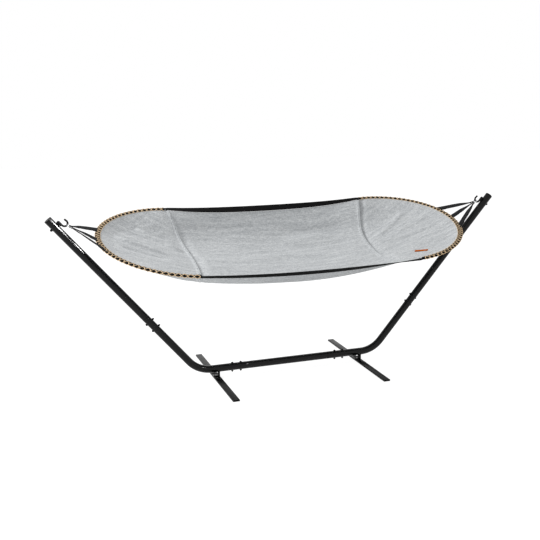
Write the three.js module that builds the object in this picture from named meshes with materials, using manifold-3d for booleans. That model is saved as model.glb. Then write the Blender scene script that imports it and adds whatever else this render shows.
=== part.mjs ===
// Hammock with a free-standing steel frame: a three-part tube frame on two flat feet, two open hooks,
// and an oval fabric bed that hangs from them on rings and webbing straps.
// Millimetres, +Z up, +X along the hammock. The origin is on the floor, midway between the two hooks.
import * as THREE from "three";
import { mergeVertices } from "three/addons/utils/BufferGeometryUtils.js";
import Module from "manifold-3d";

const wasm = await Module();
wasm.setup();

// Driving dimensions of the frame
const tubeDiameter = 50;
const tubeWall = 2;
const clearance = 0.3;
const tubeAxisHeight = 60;
const bendCornerX = 644.5;
const upperTilt = THREE.MathUtils.degToRad(49.7);
const bendRadius = 200;
const baseTubeHalf = 288;
const elbowUpperReach = 528;
const upperTubeReach = 1400;
const spigotLength = 150;
const capThickness = 8;
const capEdge = 2;
const capPlugLength = 22;
const capPlugTaperLength = 4;
const capPlugTaper = 1;

// Driving dimensions of the fasteners
const boltDiameter = 8;
const boltSpacing = 60;
const baseBoltInset = 59;
const upperBoltInset = 43;
const boltHeadDiameter = 16;
const boltHeadHeight = 8;
const nutDiameter = 15;
const nutHeight = 12;
const nutEndWall = 3;
const shankToNutEnd = 4;

// Driving dimensions of the feet
const footToBend = 30.3;
const footLength = 946;
const footWidth = 45;
const footThickness = 11;
const footBevel = 1.5;
const saddleLength = 44;
const saddleWidth = 49;
const saddlePlate = 4;
const saddleShoulderHeight = 34;
const saddleEarHeight = 47;
const saddleEarTaper = 0.5;
const footBoltDiameter = 6;
const footBoltHeight = 25;
const footBoltHeadDiameter = 10.8;
const footBoltHeadHeight = 4;
const footNutDiameter = 12;
const footNutHeight = 5;
const footBoltOverhang = 1;

// Driving dimensions of the hooks and rings
const hookToTubeEnd = 55;
const hookShankDiameter = 10;
const hookWireDiameter = 9;
const hookRadius = 25;
const hookWireStandoff = 31.9;
const hookDrop = 17.4;
const hookTopRun = 12;
const hookTipRun = 22;
const hookNutDiameter = 18;
const hookShankToNutEnd = 3;
const hookWasherDiameter = 30;
const hookWasherThickness = 1.6;
const ringRadius = 23;
const ringWireDiameter = 6;
const ringPlay = 1.1;
const ringPullAngle = THREE.MathUtils.degToRad(35);

// Driving dimensions of the bed, in its own level plane
const bedRoll = THREE.MathUtils.degToRad(14.9);
const bedCentreY = -21;
const ringToBedCentre = 130.7;
const ringToTip = 171.5;
const endReach = 545;
const halfWidth = 510;
const edgeBow = 10;
const edgeSag = 15;
const tipShift = 50;
const tipRise = 17;
const centreDepth = 230;
const seamDepth = 160;
const wallSteepness = 3.6;
const endFullness = 0.85;
const seamBeyondFlat = 22;
const seamCurve = 90;
const fabricThickness = 3;
const seamGap = 0.8;
const bandWidth = 42;
const bandThickness = 4;

// Driving dimensions of the rims, their lacing and the straps
const rimCoreDiameter = 16;
const rimEndTrim = 0.004;
const endCornerTrim = 0.054;
const laceDiameter = 4.2;
const laceTurns = 18;
const laceClearance = 0.45;
const strapWidth = 25;
const strapNeckWidth = 10;
const strapNeckLength = 12;
const strapHoleShift = 0.9;
const strapThickness = 2.5;
const strapLoopRadius = 5.2;
const strapFlareStart = 30;
const strapLap = 75;
const strapRimAngles = [17.5, -0.5, -18.5].map(THREE.MathUtils.degToRad);
const labelLength = 85;
const labelWidth = 32;
const labelThickness = 1.5;
const seamToLabel = 157;
const labelY = -226;
const labelTurn = THREE.MathUtils.degToRad(-37);

// Sizes that follow from the ones above
const bendTangent = bendRadius * Math.tan(upperTilt / 2);
const bendStart = bendCornerX - bendTangent;
const footX = bendStart - footToBend;
const hookReach = upperTubeReach - hookToTubeEnd;
const tubeRadius = tubeDiameter / 2;
const tubeBore = tubeRadius - tubeWall;
const spigotRadius = tubeBore - clearance;
const spigotBore = spigotRadius - tubeWall;
const laceRadius = laceDiameter / 2;
const laceSteps = 8;
const laceSides = 5;
const tubeSides = 18;
const drillSides = 8;
const boltSides = 8;
const nutSides = 6;
const wireSides = 8;
const ringSides = 20;
const washerSides = 16;
const laceFlat = Math.cos(Math.PI / laceSteps);
const innerLaceRadius = (rimCoreDiameter / 2 + laceClearance + laceRadius) / laceFlat;
const outerLaceRadius = innerLaceRadius + laceDiameter + laceClearance;
const rimOuterRadius = outerLaceRadius + laceRadius;
const cornerAngle = Math.acos(seamBeyondFlat / endReach);

const finishes = {
  powder_coat: { color: 0x1d1d1f, roughness: 0.32, metalness: 0.2 },
  black_plastic: { color: 0x161617, roughness: 0.55, metalness: 0 },
  blackened_steel: { color: 0x1b1b1d, roughness: 0.4, metalness: 0.6 },
  bright_steel: { color: 0xc9ccd0, roughness: 0.18, metalness: 1 },
  webbing: { color: 0x2b2c2e, roughness: 0.85, metalness: 0 },
  fabric: { color: 0xb9bfc3, roughness: 0.95, metalness: 0 },
  rim_cord: { color: 0x17171a, roughness: 0.8, metalness: 0 },
  lacing: { color: 0xc8a780, roughness: 0.85, metalness: 0 },
  label: { color: 0xc0692f, roughness: 0.8, metalness: 0 },
};

const hammock = new THREE.Group();
const rightSide = new THREE.Group();
const leftSide = new THREE.Group();
leftSide.scale.x = -1;
const bed = new THREE.Group();
const bedRight = new THREE.Group();
const bedLeft = new THREE.Group();
bedLeft.scale.x = -1;
bed.add(bedRight, bedLeft);
hammock.add(rightSide, leftSide, bed);

const vec = (x, y, z) => new THREE.Vector3(x, y, z);

function addPiece(parent, name, geometry, finish) {
  const mesh = new THREE.Mesh(geometry, new THREE.MeshStandardMaterial(finishes[finish]));
  mesh.name = name;
  parent.add(mesh);
}

// A piece that both ends of the hammock have is modelled for the right end and mirrored for the left.
function addToBothEnds(name, geometry, finish, right = rightSide, left = leftSide) {
  addPiece(right, `right_${name}`, geometry, finish);
  addPiece(left, `left_${name}`, geometry.clone(), finish);
}

// A closed body from corner points and triangles. Collapsed triangles go, and faces are turned outwards.
function closedBody(points, triangles) {
  const loose = new THREE.BufferGeometry().setFromPoints(points).setIndex(triangles.flat());
  const merged = mergeVertices(loose, 1e-3);
  const at = (i) => new THREE.Vector3().fromBufferAttribute(merged.getAttribute("position"), i);
  const source = merged.index.array;
  const kept = [];
  let volume = 0;
  for (let i = 0; i < source.length; i += 3) {
    const [a, b, c] = source.slice(i, i + 3);
    if (a === b || b === c || c === a) continue;
    kept.push([a, b, c]);
    volume += at(a).dot(at(b).cross(at(c)));
  }
  const outward = volume < 0 ? kept.map(([a, b, c]) => [a, c, b]) : kept;
  merged.setIndex(outward.flat());
  return merged;
}

// A skin through rings of points. It closes on itself, or ends in flat caps.
function loft(rings, closed = false) {
  const count = rings[0].length;
  const points = rings.flat();
  const triangles = [];
  const last = closed ? rings.length : rings.length - 1;
  for (let r = 0; r < last; r++) {
    const here = r * count;
    const next = ((r + 1) % rings.length) * count;
    for (let i = 0; i < count; i++) {
      const j = (i + 1) % count;
      triangles.push([here + i, next + i, next + j], [here + i, next + j, here + j]);
    }
  }
  if (!closed) {
    const end = (rings.length - 1) * count;
    for (let i = 1; i < count - 1; i++) {
      triangles.push([0, i, i + 1], [end, end + i + 1, end + i]);
    }
  }
  return closedBody(points, triangles);
}

function circle(radius, sides) {
  return Array.from({ length: sides }, (_, i) => {
    const angle = (2 * Math.PI * i) / sides;
    return [radius * Math.cos(angle), radius * Math.sin(angle)];
  });
}

// Rings of one cross-section carried along a path. The reference gives each ring its upward side.
function ringsAlong(path, section, reference) {
  return path.map((at, i) => {
    const before = path[Math.max(i - 1, 0)];
    const after = path[Math.min(i + 1, path.length - 1)];
    const along = after.clone().sub(before).normalize();
    const up = reference(i).clone().addScaledVector(along, -reference(i).dot(along)).normalize();
    const across = along.clone().cross(up);
    return section.map(([x, y]) => at.clone().addScaledVector(across, x).addScaledVector(up, y));
  });
}

// A thin sheet of even thickness under a grid of points.
function sheet(grid, thickness) {
  const rows = grid.length;
  const columns = grid[0].length;
  const under = grid.map((row, i) =>
    row.map((point, j) => {
      const alongRow = row[Math.min(j + 1, columns - 1)].clone().sub(row[Math.max(j - 1, 0)]);
      const downColumn = grid[Math.min(i + 1, rows - 1)][j].clone().sub(grid[Math.max(i - 1, 0)][j]);
      const normal = alongRow.cross(downColumn).normalize();
      return point.clone().addScaledVector(normal, normal.z > 0 ? -thickness : thickness);
    }),
  );
  const points = [...grid.flat(), ...under.flat()];
  const top = (i, j) => i * columns + j;
  const bottom = (i, j) => rows * columns + top(i, j);
  const triangles = [];
  const quad = (a, b, c, d) => triangles.push([a, b, c], [a, c, d]);
  for (let i = 0; i < rows - 1; i++) {
    for (let j = 0; j < columns - 1; j++) {
      quad(top(i, j), top(i + 1, j), top(i + 1, j + 1), top(i, j + 1));
      quad(bottom(i, j), bottom(i, j + 1), bottom(i + 1, j + 1), bottom(i + 1, j));
    }
    quad(top(i, 0), bottom(i, 0), bottom(i + 1, 0), top(i + 1, 0));
    quad(top(i, columns - 1), top(i + 1, columns - 1), bottom(i + 1, columns - 1), bottom(i, columns - 1));
  }
  for (let j = 0; j < columns - 1; j++) {
    quad(top(0, j), top(0, j + 1), bottom(0, j + 1), bottom(0, j));
    quad(top(rows - 1, j), bottom(rows - 1, j), bottom(rows - 1, j + 1), top(rows - 1, j + 1));
  }
  return closedBody(points, triangles);
}

function toSolid(geometry) {
  const bare = geometry.clone();
  bare.deleteAttribute("normal");
  bare.deleteAttribute("uv");
  const merged = mergeVertices(bare, 1e-3);
  return new wasm.Manifold(
    new wasm.Mesh({
      numProp: 3,
      vertProperties: merged.getAttribute("position").array,
      triVerts: new Uint32Array(merged.index.array),
    }),
  );
}

function toGeometry(solid) {
  const mesh = solid.getMesh();
  const geometry = new THREE.BufferGeometry();
  geometry.setAttribute("position", new THREE.BufferAttribute(new Float32Array(mesh.vertProperties), 3));
  geometry.setIndex(new THREE.BufferAttribute(new Uint32Array(mesh.triVerts), 1));
  return geometry;
}

const join = (...geometries) => toGeometry(geometries.map(toSolid).reduce((a, b) => a.add(b)));
const cut = (body, ...tools) => toGeometry(tools.map(toSolid).reduce((a, b) => a.subtract(b), toSolid(body)));

// A revolved profile of [radius, distance along the axis], stood on a point and pointed along an axis.
// Every axis lies in the plane of the frame, so one face corner of each round piece does too.
function turned(profile, sides, at, axis) {
  const outline = profile.map(([radius, along]) => new THREE.Vector2(radius, along));
  const along = axis.clone().normalize();
  const corner = along.clone().cross(vec(0, 1, 0));
  const turn = new THREE.Matrix4().makeBasis(along.clone().cross(corner), along, corner).setPosition(at);
  return new THREE.LatheGeometry(outline, sides).applyMatrix4(turn);
}

function rod(from, to, radius, sides) {
  const axis = to.clone().sub(from);
  const length = axis.length();
  return turned([[0, 0], [radius, 0], [radius, length], [0, length]], sides, from, axis);
}

// The outline of a domed end: a straight rim, then a shoulder that closes on a crown
function dome(radius, seat, height) {
  return [
    [radius, seat],
    [radius, seat + height * 0.45],
    [radius * 0.72, seat + height * 0.82],
    [0, seat + height],
  ];
}

// Points and directions on the right half of the frame
const baseDirection = vec(1, 0, 0);
const upperDirection = vec(Math.cos(upperTilt), 0, Math.sin(upperTilt));
const upperInward = vec(-Math.sin(upperTilt), 0, Math.cos(upperTilt));
const bendCorner = vec(bendCornerX, 0, tubeAxisHeight);
const onBase = (x) => vec(x, 0, tubeAxisHeight);
const onUpper = (reach) => bendCorner.clone().addScaledVector(upperDirection, reach);
const baseBolts = [baseBoltInset, baseBoltInset + boltSpacing].map((inset) => onBase(baseTubeHalf + inset));
const upperBolts = [upperBoltInset, upperBoltInset + boltSpacing].map((inset) => onUpper(elbowUpperReach - inset));

// A drill through a tube, square to it
function drill(at, direction, diameter) {
  const half = direction.clone().multiplyScalar(tubeDiameter);
  return rod(at.clone().sub(half), at.clone().add(half), diameter / 2 + clearance, drillSides);
}

const baseDrills = baseBolts.flatMap((at) => [
  drill(at, vec(0, 0, 1), boltDiameter),
  drill(vec(-at.x, 0, at.z), vec(0, 0, 1), boltDiameter),
]);
const rightBaseDrills = baseBolts.map((at) => drill(at, vec(0, 0, 1), boltDiameter));
const upperDrills = upperBolts.map((at) => drill(at, upperInward, boltDiameter));

// The base tube: full size in the middle, with a swaged spigot at each end that slides into an elbow
const spigotEnd = baseTubeHalf + spigotLength;
const baseProfile = [
  [spigotBore, -spigotEnd],
  [spigotRadius, -spigotEnd],
  [spigotRadius, -baseTubeHalf],
  [tubeRadius, -baseTubeHalf],
  [tubeRadius, baseTubeHalf],
  [spigotRadius, baseTubeHalf],
  [spigotRadius, spigotEnd],
  [spigotBore, spigotEnd],
  [spigotBore, -spigotEnd],
];
const baseTube = cut(turned(baseProfile, tubeSides, onBase(0), baseDirection), ...baseDrills);
addPiece(hammock, "base_tube", baseTube, "powder_coat");

// The elbows: one bend between two straight runs, hollow and open at both ends
const bendSteps = 7;
const elbowPath = [onBase(baseTubeHalf + clearance)];
for (let i = 0; i <= bendSteps; i++) {
  const turn = (upperTilt * i) / bendSteps;
  const x = bendStart + bendRadius * Math.sin(turn);
  const rise = bendRadius * (1 - Math.cos(turn));
  elbowPath.push(vec(x, 0, tubeAxisHeight + rise));
}
elbowPath.push(onUpper(elbowUpperReach - clearance));
const sideways = () => vec(0, 1, 0);
const elbowSkin = ringsAlong(elbowPath, circle(tubeRadius, tubeSides), sideways);
const elbowBore = ringsAlong(elbowPath, circle(tubeBore, tubeSides), sideways);
const elbow = loft([...elbowSkin, ...elbowBore.reverse()], true);
addToBothEnds("elbow_tube", cut(elbow, ...rightBaseDrills, ...upperDrills), "powder_coat");

// The upper tubes: a spigot below, full size above, drilled for the hook near the top
const upperProfile = [
  [spigotBore, -spigotLength],
  [spigotRadius, -spigotLength],
  [spigotRadius, 0],
  [tubeRadius, 0],
  [tubeRadius, upperTubeReach - elbowUpperReach],
  [tubeBore, upperTubeReach - elbowUpperReach],
  [tubeBore, 0],
  [spigotBore, 0],
  [spigotBore, -spigotLength],
];
const hookSeat = onUpper(hookReach);
const hookDrill = drill(hookSeat, upperInward, hookShankDiameter);
const upperTube = turned(upperProfile, tubeSides, onUpper(elbowUpperReach), upperDirection);
addToBothEnds("upper_tube", cut(upperTube, ...upperDrills, hookDrill), "powder_coat");

// The end caps: a moulded disc as wide as the tube, on a plug that fills the bore
const plugRadius = tubeBore - clearance;
const capProfile = [
  [0, -capPlugLength],
  [plugRadius - capPlugTaper, -capPlugLength],
  [plugRadius, -capPlugLength + capPlugTaperLength],
  [plugRadius, 0],
  [tubeRadius, 0],
  [tubeRadius, capThickness - capEdge],
  [tubeRadius - capEdge, capThickness],
  [0, capThickness],
];
const capSeat = onUpper(upperTubeReach + clearance);
addToBothEnds("end_cap", turned(capProfile, tubeSides, capSeat, upperDirection), "black_plastic");

// The joint bolts: a low domed head on one side of the tube, a shank, and a cap nut on the other side
const headSeat = tubeRadius + clearance;
const shankEnd = tubeRadius + nutHeight - shankToNutEnd;
const boltProfile = [
  [0, -shankEnd],
  [boltDiameter / 2, -shankEnd],
  [boltDiameter / 2, headSeat],
  ...dome(boltHeadDiameter / 2, headSeat, boltHeadHeight),
];
const nutFlat = Math.cos(Math.PI / nutSides);
const nutBoreDepth = nutHeight - nutEndWall;
function capNut(shankDiameter, diameter) {
  const bore = (shankDiameter / 2 + clearance) / nutFlat;
  return [[0, nutBoreDepth], [bore, nutBoreDepth], [bore, 0], ...dome(diameter / 2, 0, nutHeight)];
}
const nutProfile = capNut(boltDiameter, nutDiameter);
baseBolts.forEach((at, i) => {
  const nutAt = at.clone().add(vec(0, 0, -headSeat));
  addToBothEnds(`base_bolt_${i + 1}`, turned(boltProfile, boltSides, at, vec(0, 0, 1)), "blackened_steel");
  addToBothEnds(`base_nut_${i + 1}`, turned(nutProfile, nutSides, nutAt, vec(0, 0, -1)), "blackened_steel");
});
upperBolts.forEach((at, i) => {
  const outward = upperInward.clone().negate();
  const nutAt = at.clone().addScaledVector(upperInward, headSeat);
  addToBothEnds(`upper_bolt_${i + 1}`, turned(boltProfile, boltSides, at, outward), "blackened_steel");
  addToBothEnds(`upper_nut_${i + 1}`, turned(nutProfile, nutSides, nutAt, upperInward), "blackened_steel");
});

// The feet: a flat bar across the frame, a saddle bracket on it, and one bolt under the tube
const footOutline = new THREE.Shape();
footOutline.moveTo(-footWidth / 2 + footBevel, -footLength / 2 + footBevel);
footOutline.lineTo(footWidth / 2 - footBevel, -footLength / 2 + footBevel);
footOutline.lineTo(footWidth / 2 - footBevel, footLength / 2 - footBevel);
footOutline.lineTo(-footWidth / 2 + footBevel, footLength / 2 - footBevel);
const footBar = new THREE.ExtrudeGeometry(footOutline, {
  depth: footThickness - 2 * footBevel,
  bevelThickness: footBevel,
  bevelSize: footBevel,
  bevelSegments: 2,
});
footBar.translate(footX, 0, footBevel);
addToBothEnds("foot_bar", footBar, "powder_coat");

const saddleBottom = footThickness + clearance;
const saddleNotch = tubeRadius + clearance;
const earTop = saddleEarHeight - tubeAxisHeight;
const earAngle = Math.asin(earTop / saddleNotch);
const saddleOutline = new THREE.Shape();
saddleOutline.moveTo(-saddleWidth / 2, saddleBottom);
saddleOutline.lineTo(saddleWidth / 2, saddleBottom);
saddleOutline.lineTo(saddleWidth / 2, saddleShoulderHeight);
saddleOutline.lineTo(saddleWidth / 2 - saddleEarTaper, saddleEarHeight);
saddleOutline.absarc(0, tubeAxisHeight, saddleNotch, earAngle, -Math.PI - earAngle, true);
saddleOutline.lineTo(-saddleWidth / 2 + saddleEarTaper, saddleEarHeight);
saddleOutline.lineTo(-saddleWidth / 2, saddleShoulderHeight);
const saddleBlock = new THREE.ExtrudeGeometry(saddleOutline, {
  depth: saddleLength,
  bevelEnabled: false,
  curveSegments: 12,
});
saddleBlock.rotateX(Math.PI / 2).rotateZ(Math.PI / 2).translate(footX - saddleLength / 2, 0, 0);
const saddleInside = new THREE.BoxGeometry(saddleLength - 2 * saddlePlate, 2 * saddleWidth, tubeAxisHeight);
saddleInside.translate(footX, 0, saddleBottom + saddlePlate + tubeAxisHeight / 2);
const footBoltFrom = vec(footX - saddleLength, 0, footBoltHeight);
const footBoltTo = vec(footX + saddleLength, 0, footBoltHeight);
const footBoltDrill = rod(footBoltFrom, footBoltTo, footBoltDiameter / 2 + clearance, drillSides);
addToBothEnds("foot_saddle", cut(saddleBlock, saddleInside, footBoltDrill), "powder_coat");

const footGrip = saddleLength / 2 + clearance;
const footShankEnd = footGrip + footNutHeight + footBoltOverhang;
const footBoltProfile = [
  [0, -footShankEnd],
  [footBoltDiameter / 2, -footShankEnd],
  [footBoltDiameter / 2, footGrip],
  [footBoltHeadDiameter / 2, footGrip],
  [footBoltHeadDiameter / 2, footGrip + footBoltHeadHeight],
  [0, footGrip + footBoltHeadHeight],
];
const footNutBore = (footBoltDiameter / 2 + clearance) / nutFlat;
const footNutProfile = [
  [footNutBore, 0],
  [footNutDiameter / 2, 0],
  [footNutDiameter / 2, footNutHeight],
  [footNutBore, footNutHeight],
  [footNutBore, 0],
];
const footBoltAt = vec(footX, 0, footBoltHeight);
const footNutAt = vec(footX + footGrip, 0, footBoltHeight);
addToBothEnds("foot_bolt", turned(footBoltProfile, boltSides, footBoltAt, vec(-1, 0, 0)), "blackened_steel");
addToBothEnds("foot_nut", turned(footNutProfile, nutSides, footNutAt, vec(1, 0, 0)), "blackened_steel");

// The hooks: a threaded shank through the tube, and on it a J of round bar that opens upwards
const hookPoint = (inward, along) =>
  hookSeat.clone().addScaledVector(upperInward, inward).addScaledVector(upperDirection, along);
const hookCentreInward = hookWireStandoff + hookRadius;
const hookCentre = hookPoint(hookCentreInward, -hookDrop);
const hookArcSteps = 10;
const hookPath = [hookPoint(hookWireStandoff, hookTopRun)];
for (let i = 0; i <= hookArcSteps; i++) {
  const angle = Math.PI + (Math.PI * i) / hookArcSteps;
  hookPath.push(
    hookPoint(hookCentreInward + hookRadius * Math.cos(angle), -hookDrop + hookRadius * Math.sin(angle)),
  );
}
hookPath.push(hookPoint(hookCentreInward + hookRadius, -hookDrop + hookTipRun));
const hookWire = loft(ringsAlong(hookPath, circle(hookWireDiameter / 2, wireSides), sideways));
const hookShankFrom = hookPoint(-tubeRadius - nutHeight + hookShankToNutEnd, 0);
const hookShank = rod(hookShankFrom, hookPoint(hookWireStandoff, 0), hookShankDiameter / 2, boltSides);
addToBothEnds("hook", join(hookWire, hookShank), "blackened_steel");

const hookBore = hookShankDiameter / 2 + clearance;
const washerProfile = [
  [hookBore, 0],
  [hookWasherDiameter / 2, 0],
  [hookWasherDiameter / 2, hookWasherThickness],
  [hookBore, hookWasherThickness],
  [hookBore, 0],
];
const washerAt = hookPoint(tubeRadius + clearance, 0);
const hookWasher = turned(washerProfile, washerSides, washerAt, upperInward);
addToBothEnds("hook_washer", hookWasher, "blackened_steel");
const hookNutProfile = capNut(hookShankDiameter, hookNutDiameter);
const hookNutAt = hookPoint(-tubeRadius - clearance, 0);
const hookNut = turned(hookNutProfile, nutSides, hookNutAt, upperInward.clone().negate());
addToBothEnds("hook_nut", hookNut, "blackened_steel");

// The rings: each hangs in the bottom of its hook, in the plane of the pull and the sideways direction
const pull = vec(-Math.cos(ringPullAngle), 0, -Math.sin(ringPullAngle));
const ringContact = hookRadius - hookWireDiameter / 2 - ringPlay - ringWireDiameter / 2;
const ringCentre = hookCentre.clone().addScaledVector(pull, ringContact + ringRadius);
const ring = new THREE.TorusGeometry(ringRadius, ringWireDiameter / 2, wireSides, ringSides);
ring.rotateY(Math.PI - ringPullAngle).translate(ringCentre.x, 0, ringCentre.z);
addToBothEnds("ring", ring, "bright_steel");

// The bed hangs between the rings: its height and its length follow from where they are
const tipReach = ringCentre.x - ringToTip;
const flatHalf = tipReach - endReach;
const seamReach = flatHalf + seamBeyondFlat;
bed.position.set(0, bedCentreY, ringCentre.z - ringToBedCentre);
bed.rotation.x = bedRoll;
hammock.updateMatrixWorld(true);

// The bed's outline in plan: nearly straight long sides between two half ellipses, each drawn to its ring
function rimPoint(angle) {
  const reach = Math.cos(angle);
  return vec(
    flatHalf + endReach * reach,
    halfWidth * Math.sin(angle) + tipShift * reach,
    tipRise * reach,
  );
}

// The bed's cross-section at a distance from the middle: how far it has got, its half width and heights
function sectionAt(x) {
  const share = Math.min(Math.abs(x) / flatHalf, 1);
  const beyond = Math.max((Math.abs(x) - flatHalf) / endReach, 0);
  const middle = tipShift * beyond;
  if (beyond > 0) {
    const half = halfWidth * Math.sqrt(Math.max(1 - beyond * beyond, 0));
    const floor = tipRise - (seamDepth + tipRise) * Math.pow(1 - beyond, endFullness);
    return { middle, half, edge: tipRise * beyond, floor };
  }
  const flatness = 1 - share * share;
  const floor = -centreDepth + (centreDepth - seamDepth) * share * share;
  return { middle, half: halfWidth + edgeBow * flatness, edge: -edgeSag * flatness, floor };
}

// A point of the fabric. The place across is -1 at the near edge and 1 at the far edge.
function fabricPoint(x, across) {
  const { middle, half, edge, floor } = sectionAt(x);
  const bowl = 1 - Math.pow(Math.abs(across), wallSteepness);
  return vec(x, middle + across * half, edge + (floor - edge) * bowl);
}

// The same surface by its place in plan
function fabricAt(x, y) {
  const { middle, half } = sectionAt(x);
  return fabricPoint(x, THREE.MathUtils.clamp((y - middle) / half, -1, 1));
}

// The main folds of each panel in plan: soft ridges, or valleys where the height is below zero.
// Those of the two ends are given by their distance from the middle.
const fold = (from, to, height, width) => ({
  line: new THREE.Line3(vec(...from, 0), vec(...to, 0)),
  height,
  width,
});
const centreFolds = [
  fold([-660, 400], [-260, 390], -7, 50),
  fold([60, 365], [560, 340], -8, 50),
  fold([150, 215], [520, 190], -6, 50),
  fold([-560, 60], [-80, 90], 6, 55),
  fold([10, 70], [380, 20], -6, 50),
];
const rightFolds = [
  fold([780, 180], [975, 290], 12, 32),
  fold([950, 148], [1090, 175], 9, 30),
  fold([800, 0], [1080, 15], -9, 45),
  fold([790, -100], [1060, -140], 7, 40),
];
const leftFolds = [
  fold([925, 312], [735, 190], 12, 32),
  fold([1090, 165], [835, 75], 10, 32),
  fold([1060, 50], [860, 10], -7, 40),
];

// How far the folds lift the cloth at a place
function foldRise(folds, place) {
  const flat = vec(place.x, place.y, 0);
  return folds.reduce((rise, { line, height, width }) => {
    const away = line.closestPointToPoint(flat, true, vec(0, 0, 0)).distanceTo(flat);
    return rise + height * Math.exp(-((away / width) ** 2));
  }, 0);
}

// The place across where the cloth lies a given distance down from the long edge
function placeBelowEdge(x, distance) {
  const step = 0.002;
  let across = 1;
  let gone = 0;
  while (gone < distance) {
    gone += fabricPoint(x, across).distanceTo(fabricPoint(x, across - step));
    across -= step;
  }
  return across;
}

const seamX = (across) => seamReach - seamCurve * (1 - across * across);
const spread = (count) => Array.from({ length: count + 1 }, (_, i) => (2 * i) / count - 1);

// The centre panel hangs between the two bands and the two cross seams
const panelTop = placeBelowEdge(0, bandWidth + clearance);
const centreRows = spread(15).map((along) =>
  spread(19).map((place) => {
    const across = place * panelTop;
    const point = fabricPoint(along * (seamX(across) - seamGap / 2), across);
    point.z += foldRise(centreFolds, point);
    return point;
  }),
);
addPiece(bed, "centre_panel", sheet(centreRows, fabricThickness), "fabric");

// The edge bands: flat webbing along the two long sides, from corner to corner
function edgeBand(side) {
  const rows = spread(20).map((along) => {
    const x = along * (seamReach - rimCoreDiameter / 2);
    return [0, 0.5, 1].map((share) => fabricPoint(x, side * THREE.MathUtils.lerp(1, panelTop + 0.001, share)));
  });
  return sheet(rows, bandThickness);
}
addPiece(bed, "far_edge_band", edgeBand(1), "webbing");
addPiece(bed, "near_edge_band", edgeBand(-1), "webbing");

// The end panels run from the cross seam to the inside of the laced rim
const angleStep = 0.01;
const rimTangent = (angle) => rimPoint(angle + angleStep).sub(rimPoint(angle - angleStep)).normalize();
function insideRim(angle) {
  const edge = rimPoint(angle);
  const tangent = rimTangent(angle);
  const inward = vec(-tangent.y, tangent.x, 0).normalize();
  const step = 0.25;
  let distance = rimOuterRadius / 2;
  let point = edge;
  while (point.distanceTo(edge) < rimOuterRadius) {
    distance += step;
    point = fabricAt(edge.x + inward.x * distance, edge.y + inward.y * distance);
  }
  return point;
}
const endTop = placeBelowEdge(seamReach, rimOuterRadius);
const endAngle = cornerAngle - endCornerTrim;
function endPanel(folds) {
  const rows = spread(17).map((place) => {
    const across = place * endTop;
    const seam = fabricPoint(seamX(across) + seamGap / 2, across);
    const rim = insideRim(place * endAngle);
    return spread(12).map((along) => {
      const share = (along + 1) / 2;
      const x = THREE.MathUtils.lerp(seam.x, rim.x, share);
      const y = THREE.MathUtils.lerp(seam.y, rim.y, share);
      const point = fabricAt(x, y);
      point.z += foldRise(folds, point);
      return point;
    });
  });
  return sheet(rows, fabricThickness);
}
const rightEndPanel = endPanel(rightFolds);
addPiece(bedRight, "right_end_panel", rightEndPanel, "fabric");
addPiece(bedLeft, "left_end_panel", endPanel(leftFolds), "fabric");

// The rims: a round core from corner to corner round each end
const rimStart = cornerAngle - rimEndTrim;
const rimPath = spread(32).map((place) => rimPoint(rimStart * place));
const upward = () => vec(0, 0, 1);
const rimCore = loft(ringsAlong(rimPath, circle(rimCoreDiameter / 2, wireSides), upward));
addToBothEnds("rim_core", rimCore, "rim_cord", bedRight, bedLeft);

// The lacing: two cords wound round each core in opposite directions, the second over the first
function lacePath(radius, direction) {
  return spread(laceTurns * laceSteps).map((place, i) => {
    const angle = endAngle * place;
    const along = rimTangent(angle);
    const outward = along.clone().cross(vec(0, 0, 1)).normalize();
    const up = outward.clone().cross(along);
    const turn = direction * 2 * Math.PI * (i / laceSteps);
    const away = outward.multiplyScalar(Math.cos(turn)).addScaledVector(up, Math.sin(turn));
    return { at: rimPoint(angle).addScaledVector(away, radius), away };
  });
}
function lace(radius, direction) {
  const path = lacePath(radius, direction);
  const points = path.map((step) => step.at);
  return loft(ringsAlong(points, circle(laceRadius, laceSides), (i) => path[i].away));
}
addToBothEnds("inner_lacing", lace(innerLaceRadius, 1), "lacing", bedRight, bedLeft);
addToBothEnds("outer_lacing", lace(outerLaceRadius, -1), "lacing", bedRight, bedLeft);

// The least gap between two turns of one lacing cord, measured on its points
const turnPitch = lacePath(outerLaceRadius, -1);
const turnGap = Math.min(
  ...turnPitch.slice(laceSteps).map((step, i) => step.at.distanceTo(turnPitch[i].at) - laceDiameter),
);
console.log(`least gap between lacing turns ${turnGap.toFixed(1)} mm`);

// The straps: webbing folded round the ring, sewn to itself, and run out to the rim
function strapShape(length) {
  const outer = strapLoopRadius + strapThickness;
  const shape = new THREE.Shape();
  shape.moveTo(length, strapThickness / 2);
  shape.lineTo(strapLap, strapThickness / 2);
  shape.lineTo(strapLap, strapThickness);
  shape.lineTo(strapFlareStart, strapThickness);
  shape.absarc(0, 0, outer, Math.PI * 0.4, Math.PI * 1.6, false);
  shape.lineTo(strapFlareStart, -strapThickness);
  shape.lineTo(strapLap, -strapThickness);
  shape.lineTo(strapLap, -strapThickness / 2);
  shape.lineTo(length, -strapThickness / 2);
  const eye = new THREE.Path();
  eye.absarc(0, 0, strapLoopRadius, 0, Math.PI * 2, true);
  shape.holes.push(eye);
  return shape;
}
const strapHalfWidth = (along) =>
  THREE.MathUtils.lerp(
    strapNeckWidth,
    strapWidth,
    THREE.MathUtils.smoothstep(along, strapNeckLength, strapLap),
  ) / 2;
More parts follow.
